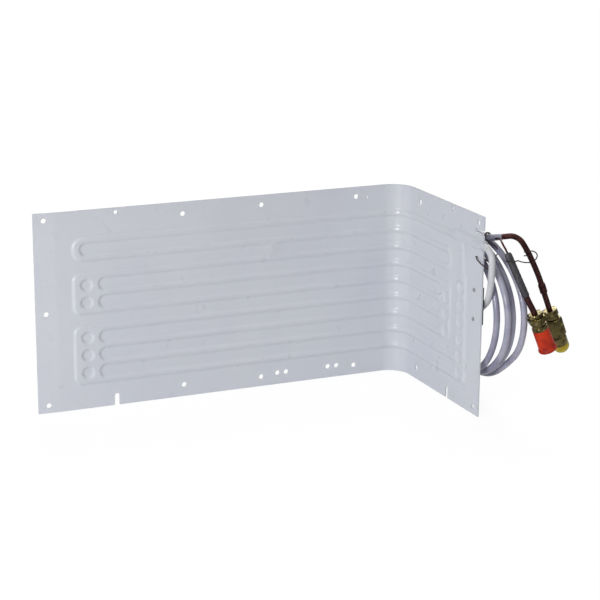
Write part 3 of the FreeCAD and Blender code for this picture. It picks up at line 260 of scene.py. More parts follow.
outlet_outline = [
    (on_short(place), level)
    for place, level in (
        (120.5, 24.5), (145.0, 24.0), (142.0, 134.0), (138.4, 137.0), (134.6, 164.0), (134.6, 165.2),
        (175.0, 165.2), (175.0, 178.8), (117.0, 178.8), (112.0, 174.6), (112.0, 166.1),
        (126.6, 166.1), (128.2, 129.0), (120.5, 126.0),
    )
]


def box_distance(s, z, left, right, bottom, top, radius):
    """Distance to a round-cornered box drawn on the sheet, negative inside."""
    across = np.abs(s - (left + right) / 2) - (right - left) / 2 + radius
    up = np.abs(z - (bottom + top) / 2) - (top - bottom) / 2 + radius
    outside = np.hypot(np.maximum(across, 0), np.maximum(up, 0))
    return outside + np.minimum(np.maximum(across, up), 0) - radius


def outline_distance(s, z, corners):
    """Distance to a closed outline of straight edges, negative inside."""
    best = np.full(s.shape, 1e9)
    inside = np.zeros(s.shape, bool)
    for (s0, z0), (s1, z1) in zip(corners, corners[1:] + corners[:1]):
        ds, dz = s1 - s0, z1 - z0
        share = np.clip(((s - s0) * ds + (z - z0) * dz) / (ds * ds + dz * dz), 0, 1)
        best = np.minimum(best, np.hypot(s - s0 - share * ds, z - z0 - share * dz))
        crossing = (z0 > z) != (z1 > z)
        if dz:
            inside ^= crossing & (s < (z - z0) / dz * ds + s0)
    return np.where(inside, -best, best)


def soft_union(first, second, radius=1.6):
    """The nearer of two distances, with a fillet where the shapes meet."""
    blend = np.clip(0.5 + 0.5 * (second - first) / radius, 0, 1)
    return second + (first - second) * blend - radius * blend * (1 - blend)


def block(s, z, start, end, lower, upper, radius):
    """Distance to a block of channels, from the foot of one pass to the top of another."""
    return box_distance(s, z, start, end, passes[lower] - half, passes[upper] + half, radius)


def island(s, z, start, end, upper):
    """Distance to the flat island between a pass and the next one down."""
    bottom, top = passes[upper + 1] + half, passes[upper] - half
    return box_distance(s, z, start, end, bottom, top, island_corner)


def channel_distance(s, z):
    """Distance to the foot of the inflated channels, negative inside them."""
    far = on_short(112.0)
    top_return = block(s, z, header_left, far, 1, 0, return_corner)
    top_return = np.where(s < middle, top_return, 1e9)
    top_run = block(s, z, run_start, on_short(133.0), 0, 0, run_corner)
    blocks = [
        soft_union(top_return, top_run),
        block(s, z, middle - lap, far, 2, 1, return_corner),
        block(s, z, run_start, middle + lap, 1, 1, run_corner),
        block(s, z, run_start, middle + lap, 2, 2, run_corner),
        block(s, z, header_left, 120.0, 4, 2, header_corner),
        block(s, z, header_left, 120.0, 8, 5, header_corner),
        block(s, z, 460.0, far, 6, 3, header_corner),
    ]
    for number in range(3, pass_count):
        end = far - 4.0 if number < 7 else on_short(130.0)
        blocks.append(block(s, z, run_start, end, number, number, run_corner))
    raised = soft_union(np.minimum.reduce(blocks), outline_distance(s, z, outlet_outline), 3.0)

    islands = [island(s, z, 46.6, middle + island_lap, 0)]
    for number in (2, 3, 5, 6, 7):
        between = (passes[number] + passes[number + 1]) / 2
        islands.append(np.hypot(s - bond_spot_left, z - between) - bond_spot)
        islands.append(island(s, z, island_left, middle + island_lap, number))
    for number in (1, 3, 4, 5):
        end = on_short(103.0) if number == 1 else on_short(88.0)
        islands.append(island(s, z, middle, end, number))
    for row in range(6):
        level = spot_row_top - spot_row_pitch * row
        islands.append(np.hypot(s - on_short(131.8), z - level) - 3.7)
        if 1 <= row <= 3:
            islands.append(np.hypot(s - on_short(102.2), z - level) - bond_spot)
    return np.maximum(raised, -np.minimum.reduce(islands))


def relief(s, z):
    """Height of the inner face over the flat sheet."""
    depth = np.clip(-channel_distance(s, z) / crest_slope, 0, 1)
    return crest_height * depth * depth * (3 - 2 * depth)


def swelling(s, z):
    """Half thickness of the swelling round the mouth of the stub tube."""
    inward = on_short(short_side) - s
    radius = mouth_radius - np.clip(inward, 0, 40) * mouth_taper
    dome = np.sqrt(np.clip(radius**2 - (z - mouth_height) ** 2, 0, None)) - gauge / 2
    return np.maximum(dome, 0) * np.clip((mouth_reach - inward) / mouth_fade, 0, 1)


def on_sheet(s, z, depth):
    """From the developed sheet to the bent one. Depth is measured inwards from the outer face."""
    flat = np.stack([s - long_side, -depth, z], axis=-1)
    angle = (np.clip(s, bend_start, bend_end) - bend_start) / bend_radius
    reach = bend_radius - depth
    round_part = np.stack(
        [reach * np.sin(angle) - bend_radius, reach * np.cos(angle) - bend_radius, z], axis=-1
    )
    short_part = np.stack([-depth, corner - s, z], axis=-1)
    back = crease - s
    margin = np.stack(
        [
            crease - long_side - back * math.cos(crease_angle) - depth * math.sin(crease_angle),
            back * math.sin(crease_angle) - depth * math.cos(crease_angle),
            z,
        ],
        axis=-1,
    )
    s = s[..., None]
    placed = np.where(s < crease, margin, flat)
    placed = np.where(s > bend_start, round_part, placed)
    return np.where(s > bend_end, short_part, placed)


def arc_points(s, z, radius, start, end, count):
    turns = np.radians(np.linspace(start, end, count))
    return [(s + radius * math.cos(turn), z + radius * math.sin(turn)) for turn in turns]


def spaced(*runs):
    """Grid lines along one direction: each run is its start, its end and its spacing."""
    lines = []
    for start, end, step in runs:
        lines += list(np.arange(start, end - step * 0.4, step))
    return lines + [runs[-1][1]]


fixing_hole, stud_hole = 2.5, 1.55
holes = [(10.5, level, fixing_hole) for level in (7.5, 100.0, 192.5)]
holes += [(150.8, 12.0, fixing_hole), (150.8, 188.0, fixing_hole), (82.0, 195.4, 2.0)]
holes += [(place, level, fixing_hole) for place in (234.5, 339.0) for level in (10.0, 190.0)]
holes += [(place, 12.0, fixing_hole) for place in (252.5, 262.1, 309.3, 319.1)]
holes += [(352.0, 188.0, 1.0)]
holes += [(on_short(40.0), 12.0, 2.8), (on_short(40.0), 188.0, 2.9)]
holes += [(on_short(160.8), 7.5, fixing_hole), (on_short(160.8), 192.5, fixing_hole)]
holes += [(on_short(108.0), 195.4, 2.15), (on_short(159.7), 158.0, stud_hole)]
holes += [(on_short(156.5), 95.7, stud_hole), (on_short(156.5), 124.8, stud_hole)]
slot_places, slot_radius, slot_round = (80.0, on_short(106.5)), 2.5, 9.5
notch_low, notch_middle, notch_high, notch_radius = 181.7, 184.0, 186.3, 2.3
notch_round = on_short(155.8 + notch_radius)
arc_count, hole_count, rim_gap, same_point, edge_break = 13, 24, 0.45, 1e-5, 0.12

# The inner face needs close grid lines over the channels and the bend, the flat outer face few.
across_lines = spaced(
    (0.0, 20.0, 5.0), (20.0, 22.5, 0.5), (22.5, 35.0, 3.1), (35.0, 72.0, 0.85), (72.0, 368.0, 6.0),
    (368.0, 410.0, 1.5), (410.0, 466.0, 4.0), (466.0, 535.0, 0.85), (535.0, sheet_length, 1.4),
)
over_pass = (-5.2, -4.3, -3.6, -2.9, -2.2, -1.2, 0.0, 1.2, 2.2, 2.9, 3.6, 4.3, 5.2)
between_passes = (7.2, 8.9, 10.5)
up_lines = [0.0, 5.0, 10.0, 15.0, 19.0, 22.0]
for level in sorted(passes):
    up_lines += [level + step for step in over_pass]
    if level < pass_top:
        up_lines += [level + step for step in between_passes]
up_lines += [177.0, 178.2, 179.2, 181.0, 184.0, 188.0, 192.0, 196.0, height]
coarse_across = spaced(
    (0.0, 21.0, 7.0), (21.0, 369.0, 12.0), (369.0, 409.0, 2.5), (409.0, 530.0, 12.0),
    (530.0, sheet_length, 1.8),
)
coarse_up = [0.0, 15.0, 40.0, 70.0, 100.0, 130.0, 155.0]
coarse_up += [163.0 + step for step in range(20)] + [190.0, height]


def sheet_edge(lines_s, lines_z):
    """The outer edge of the developed sheet, with its slots and its notch, in order."""
    edge = []
    slots = list(slot_places)
    for place in lines_s:
        while slots and place > slots[0] - slot_radius - 0.6:
            centre = slots.pop(0)
            edge += [(centre - slot_radius, level) for level in (0.0, 4.0, 7.5)]
            edge += arc_points(centre, slot_round, slot_radius, 180, 0, arc_count)
            edge += [(centre + slot_radius, level) for level in (7.5, 4.0, 0.0)]
        if not any(abs(place - centre) < slot_radius + 0.7 for centre in slot_places):
            edge.append((place, 0.0))
    notched = False
    for level in lines_z[1:]:
        if not notched and level > notch_low:
            notched = True
            edge += [(sheet_length, notch_low), (sheet_length - 6, notch_low)]
            edge += arc_points(notch_round, notch_middle, notch_radius, 270, 90, arc_count)
            edge += [(sheet_length - 6, notch_high), (sheet_length, notch_high)]
        if not notch_low < level < notch_high:
            edge.append((sheet_length, level))
    edge += [(place, height) for place in reversed(lines_s[:-1])]
    edge += [(0.0, level) for level in reversed(lines_z[1:-1])]
    return edge


def inside_sheet(s, z, loops):
    """Where a point lies within the edge and outside the holes."""
    inside = outline_distance(s, z, loops[0]) < 0
    for loop in loops[1:]:
        inside &= outline_distance(s, z, loop) > 0
    return inside


def face_of_sheet(grid, loops):
    """Triangles of one face of the sheet: grid points and the loops of its edge and holes."""
    points, edges = [], []
    for loop in loops:
        first = len(points)
        points += loop
        edges += [(first + k, first + (k + 1) % len(loop)) for k in range(len(loop))]
    rim = np.array(points)
    keep = []
    for s, z in grid:
        if np.min(np.hypot(rim[:, 0] - s, rim[:, 1] - z)) > rim_gap:
            keep.append((s, z))
    keep = np.array(keep)
    points += [tuple(p) for p in keep[inside_sheet(keep[:, 0], keep[:, 1], loops)]]
    result = delaunay_2d_cdt([Vector(p) for p in points], edges, [], 0, same_point)
    found = np.array([tuple(p) for p in result[0]])
    triangles = np.array(result[2])
    centres = found[triangles].mean(axis=1)
    return found, triangles[inside_sheet(centres[:, 0], centres[:, 1], loops)]


def new_piece(name, verts, faces, material, body, slot, smooth_below=35.0):
    """A mesh piece, given in millimetres, that rides on a body."""
    mesh = bpy.data.meshes.new(name)
    mesh.from_pydata([tuple(v * MM for v in vert) for vert in verts], [], faces)
    welded = bmesh.new()
    welded.from_mesh(mesh)
    bmesh.ops.remove_doubles(welded, verts=welded.verts, dist=1e-6)
    welded.to_mesh(mesh)
    welded.free()
    mesh.materials.append(material)
    mesh.shade_smooth()
    mesh.set_sharp_from_angle(angle=math.radians(smooth_below))
    piece = bpy.data.objects.new(name, mesh)
    bpy.context.collection.objects.link(piece)
    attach(piece, body)
    return piece


panel_coat, coat_shader, coat_place = new_finish(
    "panel_coat", Metallic=0.0, Coat_Roughness=0.08, Coat_IOR=1.45
)
cloud = coat_place.noise(9.0, 2.0)
pale = coat_place.colour(rgb(211, 214, 221))
cool = coat_place.colour(rgb(208, 211, 220))
peel = coat_place.noise(420.0, 1.0)
feed(
    coat_shader,
    Base_Color=pale.blend(cool, cloud.ramp(0.35, 0.65)),
    Roughness=0.24 + coat_place.noise(60.0, 3.0) * 0.1,
    Coat_Weight=0.5 + cloud * 0.1,
    Normal=peel.bump(0.06, 0.0002),
)

loops = [sheet_edge(across_lines, up_lines)]
last_turn = 360 - 360 / hole_count
loops += [arc_points(s, z, radius, 0, last_turn, hole_count) for s, z, radius in holes]
fine = [(s, z) for s in across_lines[1:-1] for z in up_lines[1:-1]]
coarse = [(s, z) for s in coarse_across[1:-1] for z in coarse_up[1:-1]]
inner_points, inner_faces = face_of_sheet(fine, loops)
outer_points, outer_faces = face_of_sheet(coarse, loops)
inner_s, inner_z = inner_points[:, 0], inner_points[:, 1]
inner_depth = gauge + np.maximum(relief(inner_s, inner_z), swelling(inner_s, inner_z))
outer_s, outer_z = outer_points[:, 0], outer_points[:, 1]
verts = [on_sheet(inner_s, inner_z, inner_depth)]
verts.append(on_sheet(outer_s, outer_z, -swelling(outer_s, outer_z)))
faces = [tuple(face) for face in inner_faces.tolist()]
shift = len(inner_points)
faces += [tuple(index + shift for index in face[::-1]) for face in outer_faces.tolist()]
count = shift + len(outer_points)
for loop in loops:
    ring = np.array(loop)
    s, z = ring[:, 0], ring[:, 1]
    swell = swelling(s, z)
    deep = gauge + np.maximum(relief(s, z), swell)
    for layer in (-swell, -swell + edge_break, deep - edge_break, deep):
        verts.append(on_sheet(s, z, layer))
    around = len(loop)
    for row in range(3):
        for k in range(around):
            a = count + row * around + k
            b = count + row * around + (k + 1) % around
            wall = (a, b, b + around, a + around)
            faces.append(wall if loop is loops[0] else wall[::-1])
    count += around * 4
panel = new_piece(
    "evaporator_panel", np.concatenate(verts), faces, panel_coat, "panel", "panel_white"
)
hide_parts("evaporator_plate")

# Stub tube: aluminium tube, formed over a roller, pressed into the mouth and painted white with the
# panel. The coat is thinner than on the panel and shows the draw lines of the tube.
bore_depth = 6.0


def smooth_line(corners, steps=8):
    """Points along the smooth curve that has these corners, read from a curve of its own."""
    curve = bpy.data.curves.new("route", "CURVE")
    curve.dimensions = "3D"
    curve.resolution_u = steps
    spline = curve.splines.new("NURBS")
    spline.points.add(len(corners) - 1)
    for point, place in zip(spline.points, corners):
        point.co = (*place, 1.0)
    spline.order_u = 3
    spline.use_endpoint_u = True
    carrier = bpy.data.objects.new("route", curve)
    mesh = bpy.data.meshes.new_from_object(carrier)
    points = [Vector(vertex.co) for vertex in mesh.vertices]
    bpy.data.objects.remove(carrier)
    bpy.data.curves.remove(curve)
    bpy.data.meshes.remove(mesh)
    return points


def frames_along(points):
    """At each point a direction and two directions square to it, carried along without twist."""
    found = []
    aside = None
    for here, point in enumerate(points):
        before = points[max(here - 1, 0)]
        after = points[min(here + 1, len(points) - 1)]
        along = (after - before).normalized()
        if aside is None:
            aside = along.cross(Vector((0.3, 0.2, 1.0))).normalized()
        aside = (aside - along * aside.dot(along)).normalized()
        found.append((point, along, aside, along.cross(aside)))
    return found


def skin(rings, sides):
    """The faces that join rings of so many points, with both ends closed."""
    faces = []
    for level in range(rings - 1):
        for k in range(sides):
            a = level * sides + k
            b = level * sides + (k + 1) % sides
            faces.append((a, b, b + sides, a + sides))
    last = (rings - 1) * sides
    return faces + [tuple(range(sides))[::-1], tuple(range(last, last + sides))]


def tube_mesh(points, radius, sides=24, inner=0.0):
    """Rings of a tube, its ends closed, or open on a bore of the inner radius.

    The radius is one value or one for each point.
    """
    rows = frames_along(points)
    radii = radius if isinstance(radius, list) else [radius] * len(rows)
    rings = list(zip(rows, radii))
    if inner:
        first, last = rows[0], rows[-1]
        start = (first[0] + first[1] * bore_depth, *first[1:])
        end = (last[0] - last[1] * bore_depth, *last[1:])
        rings = [(start, inner), (first, inner)] + rings + [(last, inner), (end, inner)]
    verts = []
    for (point, _, aside, upward), size in rings:
        for k in range(sides):
            turn = 2 * math.pi * k / sides
            verts.append(point + aside * (size * math.cos(turn)) + upward * (size * math.sin(turn)))
    return verts, skin(len(rings), sides)


stub_corners = [
    (-0.75, -161.0, 172.5), (-0.75, -187.5, 172.5), (0.6, -186.0, 146.05), (3.25, -177.5, 123.0),
    (8.05, -165.6, 112.5), (9.55, -141.0, 96.8),
]
stub_radius, stub_bore = 3.25, 2.3
stub_coat, stub_shader, stub_place = new_finish("stub_coat", Coat_Weight=0.25, Coat_Roughness=0.15)
white = stub_place.colour(rgb(208, 210, 214))
grey = stub_place.colour(rgb(176, 178, 188))
scuffs = stub_place.noise(120.0, 4.0, (1.0, 1.0, 0.25))
feed(
    stub_shader,
    Base_Color=white.blend(grey, scuffs.ramp(0.5, 0.75)),
    Roughness=0.3 + scuffs * 0.2,
    Normal=stub_place.noise(700.0, 2.0).bump(0.15, 0.0003),
)
stub_mesh = tube_mesh(smooth_line(stub_corners, 12), stub_radius, inner=stub_bore)
stub = new_piece("stub_tube", *stub_mesh, stub_coat, "panel", "stub_white")
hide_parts("suction_stub")

# Coiled line: a copper tube with a thin capillary beside it, both inside one pale shrunk sleeve. It is
# wound by hand, so its turns wander. The sleeve puckers a little all along.
coil_place, coil_side, coil_top = 11.3, -180.5, 164.5
coil_axis, coil_height, coil_radius, line_size = -113.0, 97.0, 67.5, 6.6
sleeve_radius, pucker = 3.24, 0.06
turn_step = 30
# Each station is a turn in degrees, then how far the line strays out of the coil's plane and from its
# radius there, in widths of the line.
stations = (
    (0, -0.35, -2.95), (90, -0.5, -0.23), (180, -0.5, -0.1), (270, 0.0, 0.0), (315, -0.26, 0.08),
    (360, -0.27, -0.98), (450, -0.2, 0.98), (540, -0.75, 1.02), (630, 0.56, 2.5), (675, 0.73, 0.63),
    (720, 0.79, -0.45), (810, 0.94, -0.23), (900, 0.61, 0.38), (990, 1.7, 1.82), (1035, 1.75, 0.3),
    (1080, 1.86, -0.08), (1170, 1.47, 0.91), (1260, 0.95, 1.35), (1350, 2.95, 3.2),
    (1395, 3.05, 0.4), (1440, 3.0, 0.45), (1530, 1.92, 2.2), (1620, 0.03, 2.35),
)


def from_coil(out, along, up):
    """A point measured from the plane, the outer side and the top of the coil's first turn."""
    return Vector((coil_place + out, coil_side + along, coil_top + up))


def coil_point(turn, place, radius):
    angle = math.radians(turn)
    across, up = radius * math.sin(angle), radius * math.cos(angle)
    return Vector((place, coil_axis + across, coil_height - up))


def station_point(turn, spread=1.0):
    """A point of the coil at a turn, eased between the stations either side."""
    here, after = stations[:2]
    for here, after in zip(stations, stations[1:]):
        if turn <= after[0]:
            break
    share = min(max((turn - here[0]) / (after[0] - here[0]), 0.0), 1.0)
    eased = (1 - math.cos(math.pi * share)) / 2
    place, stray = (a + (b - a) * eased for a, b in zip(here[1:], after[1:]))
    radius = (coil_radius + stray * line_size) * spread
    return coil_point(turn, coil_place + place * line_size, radius)


stub_end = Vector(stub_corners[-1])
stub_run = Vector((1.5, 24.0, -15.7)).normalized()
coil_corners = [stub_end + stub_run, stub_end + stub_run * 16]
turn = -turn_step / 2
while turn < stations[-1][0]:
    coil_corners.append(station_point(turn, 1 / math.cos(math.radians(turn_step / 2))))
    turn += turn_step
coil_end = from_coil(14.7, 23.0, 10.8)
coil_corners += [from_coil(0.4, 43.5, 8.6), from_coil(0.7, 30.0, 9.2), coil_end]
coil_run = (coil_end - coil_corners[-2]).normalized()
coil_line = smooth_line(coil_corners, 10)
sleeve_radii = [
    sleeve_radius + pucker * math.sin(step * 0.9) * math.sin(step * 0.37)
    for step in range(len(coil_line))
]
sleeve_plastic, sleeve_shader, sleeve_place = new_finish(
    "sleeve_plastic",
    Coat_Weight=0.5,
    Coat_Roughness=0.12,
    Subsurface_Weight=0.15,
    Subsurface_Scale=0.002,
)
lavender = sleeve_place.colour(rgb(170, 170, 187))
dusk = sleeve_place.colour(rgb(142, 141, 164))
mottle = sleeve_place.noise(55.0, 4.0)
crinkle = sleeve_place.noise(420.0, 3.0)
feed(
    sleeve_shader,
    Base_Color=lavender.blend(dusk, mottle.ramp(0.35, 0.7)),
    Roughness=0.34 + crinkle * 0.18,
    Normal=(crinkle + mottle * 0.8).bump(0.35, 0.0008),
)
coil_mesh = tube_mesh(coil_line, sleeve_radii)
coil = new_piece("coil_sleeve", *coil_mesh, sleeve_plastic, "panel", "pale_sleeve")
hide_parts("line_coil")

# Joint sleeve: black plastic shrunk over the joint of the aluminium stub and the copper line, so that
# its ends taper down to the tubes and its middle shows the step between them.
black_plastic, black_shader, black_place = new_finish("black_sleeve_plastic", Coat_Weight=0.1)
soot = black_place.colour(rgb(52, 52, 58))
dust = black_place.colour(rgb(84, 84, 92))
wrinkle = black_place.noise(300.0, 4.0, (1.0, 1.0, 0.35))
feed(
    black_shader,
    Base_Color=soot.blend(dust, wrinkle.ramp(0.45, 0.8)),
    Roughness=0.42 + wrinkle * 0.2,
    Normal=wrinkle.bump(0.4, 0.0006),
)
joint_start = stub_end - stub_run * 13.0
joint_steps = [0.0, 0.25, 0.8, 1.6, 4.0, 7.0, 11.0, 12.5, 14.0, 18.0, 20.4, 21.3, 21.8, 22.1]
joint_radii = [3.55, 3.75, 3.95, 4.02, 4.05, 4.05, 4.02, 3.9, 3.98, 4.05, 4.02, 3.9, 3.75, 3.55]
joint_line = [joint_start + stub_run * step for step in joint_steps]
joint_mesh = tube_mesh(joint_line, joint_radii)
joint = new_piece("joint_shrink", *joint_mesh, black_plastic, "panel", "black_sleeve")
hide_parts("joint_sleeve")

# Rear copper: drawn tube, browned by brazing heat, its end swaged to a bell over the spigot of the
# rear coupling and brazed there with a small fillet.
rear_tube, rear_spigot = 2.8, 2.78
rear_top = from_coil(65.0, 10.5, -65.1)
rear_axis = Vector((16.7, 0.0, -42.2)).normalized()
bell_start = from_coil(50.7, 10.5, -28.5)
bell_axis = (rear_top - rear_axis * 14 - bell_start).normalized()
bell_neck = bell_start + bell_axis * 8
copper, copper_shader, copper_place = new_finish("browned_copper", Metallic=0.92)
brown = copper_place.colour(rgb(84, 52, 50))
pink = copper_place.colour(rgb(196, 132, 120))
dark = copper_place.colour(rgb(50, 32, 34))
heat = copper_place.noise(70.0, 3.0)
grime = copper_place.noise(260.0, 5.0)
feed(
    copper_shader,
    Base_Color=brown.blend(dark, grime.ramp(0.42, 0.7)).blend(pink, heat.ramp(0.6, 0.78) * 0.7),
    Roughness=0.3 + grime * 0.25,
    Normal=grime.bump(0.2, 0.0003),
)
tail_corners = [
    coil_end, coil_end + coil_run * 4, from_coil(23.9, 17.5, 12.4), from_coil(31.0, 14.5, 8.7),
    from_coil(35.9, 12.5, 0.5), from_coil(41.2, 11.5, -9.0), bell_start, bell_neck,
]
tail_line = smooth_line(tail_corners, 10)
bell_steps = [0.3, 0.8, 1.4, 2.0, 4.0, 7.0, 9.6, 10.4, 10.8, 11.0]
bell_radii = [2.82, 3.05, 3.4, 3.6, 3.65, 3.65, 3.65, 3.6, 3.45, 3.0]
tail_radii = [rear_tube] * len(tail_line) + bell_radii
tail_line += [bell_neck + bell_axis * step for step in bell_steps]
tail_mesh = tube_mesh(tail_line, tail_radii)
tail = new_piece("copper_tail", *tail_mesh, copper, "panel", "copper")
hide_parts("suction_tail")
spigot_corners = [
    bell_neck + bell_axis * 2.5, rear_top - rear_axis * 12, rear_top + rear_axis * 4.7
]
spigot_mesh = tube_mesh(smooth_line(spigot_corners, 12), rear_spigot)
spigot = new_piece("copper_spigot", *spigot_mesh, copper, "panel", "copper")
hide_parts("suction_spigot")

# Front line: the capillary leaves the end of the pale sleeve, bends over and goes into a black shrunk
# sleeve with the strainer's copper tube, which runs on to the front coupling.
capillary_radius, strainer_radius, shrink_radius, shrink_wave = 1.0, 2.95, 3.58, 0.07
front_top = from_coil(26.55, -25.5, -55.85)
front_axis = Vector((16.75, 0.0, -37.65)).normalized()
side_way = Vector((-0.447, -0.894, 0.0)).normalized()
exit_point = coil_end - coil_run * 5.6
sleeve_top = from_coil(1.9, -11.5, 3.7)
sleeve_lean = Vector((7.1, -6.0, -19.7)).normalized()
sleeve_mid = sleeve_top + sleeve_lean * 21.8
sleeve_bottom = from_coil(17.0, -23.5, -37.3)
sleeve_fall = (sleeve_bottom - sleeve_mid).normalized()
capillary_corners = [
    exit_point + side_way * 2.4, exit_point + side_way * 6.5, from_coil(6.1, 11.5, 13.0),
    from_coil(0.9, -0.5, 13.7), from_coil(-1.7, -8.2, 11.9), sleeve_top - sleeve_lean * 3,
    sleeve_top + sleeve_lean * 4,
]
capillary_mesh = tube_mesh(smooth_line(capillary_corners, 12), capillary_radius, 16)
capillary = new_piece("copper_capillary", *capillary_mesh, copper, "panel", "copper")
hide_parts("capillary")
liquid_corners = [
    sleeve_top + sleeve_lean * 8, sleeve_mid, sleeve_bottom + sleeve_fall * 5.6,
    front_top - front_axis * 4, front_top + front_axis * 4.7,
]
liquid_mesh = tube_mesh(smooth_line(liquid_corners, 14), strainer_radius)
liquid = new_piece("copper_strainer", *liquid_mesh, copper, "panel", "copper")
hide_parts("liquid_tail")
shrink_line = smooth_line([sleeve_top, sleeve_mid, sleeve_bottom], 24)
shrink_radii = []
for step in range(len(shrink_line)):
    share = step / (len(shrink_line) - 1)
    shoulder = min(1.0, 0.5 + share * 9.0) if share < 0.06 else 1.0
    wavy = shrink_radius + shrink_wave * math.sin(step * 1.3)
    shrink_radii.append(wavy * math.sin(shoulder * math.pi / 2))
shrink_radii[-1] = 3.3
shrink_mesh = tube_mesh(shrink_line, shrink_radii)
shrink = new_piece("strainer_shrink", *shrink_mesh, black_plastic, "panel", "black_sleeve")
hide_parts("strainer_sleeve")

# Ties: soft dark wire, wound on by hand. One holds the stub to the panel, one goes loosely round the
# end of the sleeved line, and one ties the two copper tails together.
wire_radius, wire_sides = 0.58, 12
wire_metal, wire_shader, wire_place = new_finish("annealed_wire", Metallic=0.8)
iron = wire_place.colour(rgb(66, 50, 50))
worn = wire_place.colour(rgb(124, 96, 90))
scale_marks = wire_place.noise(500.0, 3.0)
feed(
    wire_shader,
    Base_Color=iron.blend(worn, scale_marks.ramp(0.55, 0.8)),
    Roughness=0.38 + scale_marks * 0.2,
)
plate_corners = [
    (3.0, -159.4, 158.2), (-3.6, -159.6, 158.2), (-3.4, -168.0, 155.4), (-2.4, -175.0, 152.6),
    (0.5, -181.8, 151.2), (5.0, -185.0, 151.4), (7.2, -177.0, 152.8), (6.0, -167.0, 155.6),
    (3.4, -158.0, 158.0), (-3.4, -160.4, 159.0),
]
plate_wire = tube_mesh(smooth_line(plate_corners), wire_radius, wire_sides)
plate_tie = new_piece("tie_at_panel", *plate_wire, wire_metal, "panel", "tie_wire")
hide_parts("plate_tie")
loop_radius = 6.2
bundle_corners = []
for step in range(9):
    angle = math.radians(200 - 90 * step)
    across, upward = loop_radius * math.cos(angle), loop_radius * math.sin(angle)
    bundle_corners.append(
        from_coil(1.6 + 0.85 * across + 0.25 * step, 30.4 + 0.5 * across - 0.4 * step, 10.4 + upward)
    )
bundle_corners += [from_coil(6.6, 21.0, 4.0), from_coil(10.6, 18.0, -3.5), from_coil(9.4, 24.0, -8.0)]
bundle_wire = tube_mesh(smooth_line(bundle_corners), wire_radius, wire_sides)
bundle_tie = new_piece("tie_of_turns", *bundle_wire, wire_metal, "panel", "tie_wire")
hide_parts("bundle_tie")
tail_tie_corners = [
    from_coil(7.3, -6.9, -4.9), from_coil(0.5, -8.3, -4.1), from_coil(0.1, -17.6, -3.3),
    from_coil(9.0, -18.9, -2.9), from_coil(12.5, -12.0, -4.0), from_coil(24.0, -2.0, -9.5),
    from_coil(40.0, 9.5, -14.2), from_coil(44.0, 15.5, -14.0), from_coil(46.8, 10.5, -12.5),
    from_coil(46.6, 6.9, -5.5), from_coil(41.0, 8.3, -1.7), from_coil(35.0, 8.5, -3.0),
    from_coil(35.1, 15.5, -4.2), from_coil(42.2, 15.5, -5.0), from_coil(42.0, 8.4, -5.8),
    from_coil(35.1, 8.5, -6.6), from_coil(34.2, 12.0, -7.2),
]
tail_wire = tube_mesh(smooth_line(tail_tie_corners), wire_radius, wire_sides)
tail_tie = new_piece("tie_of_tails", *tail_wire, wire_metal, "panel", "tie_wire")
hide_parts("tail_tie")

# Front coupling: turned brass, tarnished and darkened further with painted shade, under a moulded red
# dust cap with a rim at its closed end.
# The hexagons are chamfered, the neck behind the shoulder is turned down, and the end is threaded.
turned_sides = 72
front_spin = 0.2
front_flats, front_boss_flats = 16.0, 14.0
thread_start, thread_end, thread_pitch, thread_crest, thread_root = 17.4, 36.6, 1.1, 7.55, 7.0


def turned_mesh(rings, top, axis, spin=0.0):
    """A turned form along an axis: rings of place, radius and width across flats, 0 if round."""
    across = axis.cross(Vector((0.0, 1.0, 0.0))).normalized()
    upward = axis.cross(across)
    verts = []
    for place, radius, flats in rings:
        for k in range(turned_sides):
            turn = 2 * math.pi * k / turned_sides
            size = radius
            if flats:
                apart = (turn + math.pi / 6) % (math.pi / 3) - math.pi / 6
                size = min(radius, flats / 2 / math.cos(apart))
            angle = turn + spin
            ray = across * math.cos(angle) + upward * math.sin(angle)
            verts.append(top + axis * place + ray * size)
    return verts, skin(len(rings), turned_sides)


def turned(*steps):
    """Rings of a round turned form, each given by its place and radius."""
    return [(place, radius, 0.0) for place, radius in steps]


def chamfered_hexagon(start, end, flats, small=0.2):
    """Rings of a hexagon whose corners are turned off at both ends."""
    tip = flats / 2 / math.cos(math.pi / 6)
    low = flats / 2 + small
    lead = (tip - flats / 2 - small) * 0.6
    rings = [(start, low, flats), (start + lead / 2, (low + tip) / 2, flats)]
    rings += [(start + lead, tip, flats), (start + lead + 0.4, tip, flats)]
    rings += [(end - lead - 0.4, tip, flats), (end - lead, tip, flats)]
    return rings + [(end - lead / 2, (low + tip) / 2, flats), (end, low, flats)]


brass, brass_shader, brass_place = new_finish("tarnished_brass_painted_shade", Metallic=0.95)
# Painted shade and sheen: the dark olive ground and the dark patches are partly real tarnish and
# partly painted shade of dark reflections; the bright patches are a painted sheen where edges catch
# the light.
olive = brass_place.colour(rgb(108, 98, 62))
painted_sheen = brass_place.colour(rgb(158, 144, 96))
tarnish_and_painted_shade = brass_place.colour(rgb(58, 44, 28))
tarnish_and_sheen_noise = brass_place.noise(150.0, 4.0)
cuts = brass_place.noise(900.0, 2.0, (0.25, 1.0, 0.25))
brass_and_painted_sheen = olive.blend(painted_sheen, tarnish_and_sheen_noise.ramp(0.52, 0.7))
feed(
    brass_shader,
    Base_Color=brass_and_painted_sheen.blend(tarnish_and_painted_shade, tarnish_and_sheen_noise.ramp(0.52, 0.36) * 0.75),
    Roughness=0.1 + tarnish_and_sheen_noise * 0.16,
    Normal=cuts.bump(0.12, 0.0002),
)
front_rings = turned((2.0, 3.0), (-1.6, 3.05))
front_rings += chamfered_hexagon(-1.6, 1.8, front_boss_flats, -0.2)
front_rings += turned((1.9, 6.6), (2.3, 6.6))
front_rings += chamfered_hexagon(2.4, 8.2, front_flats)
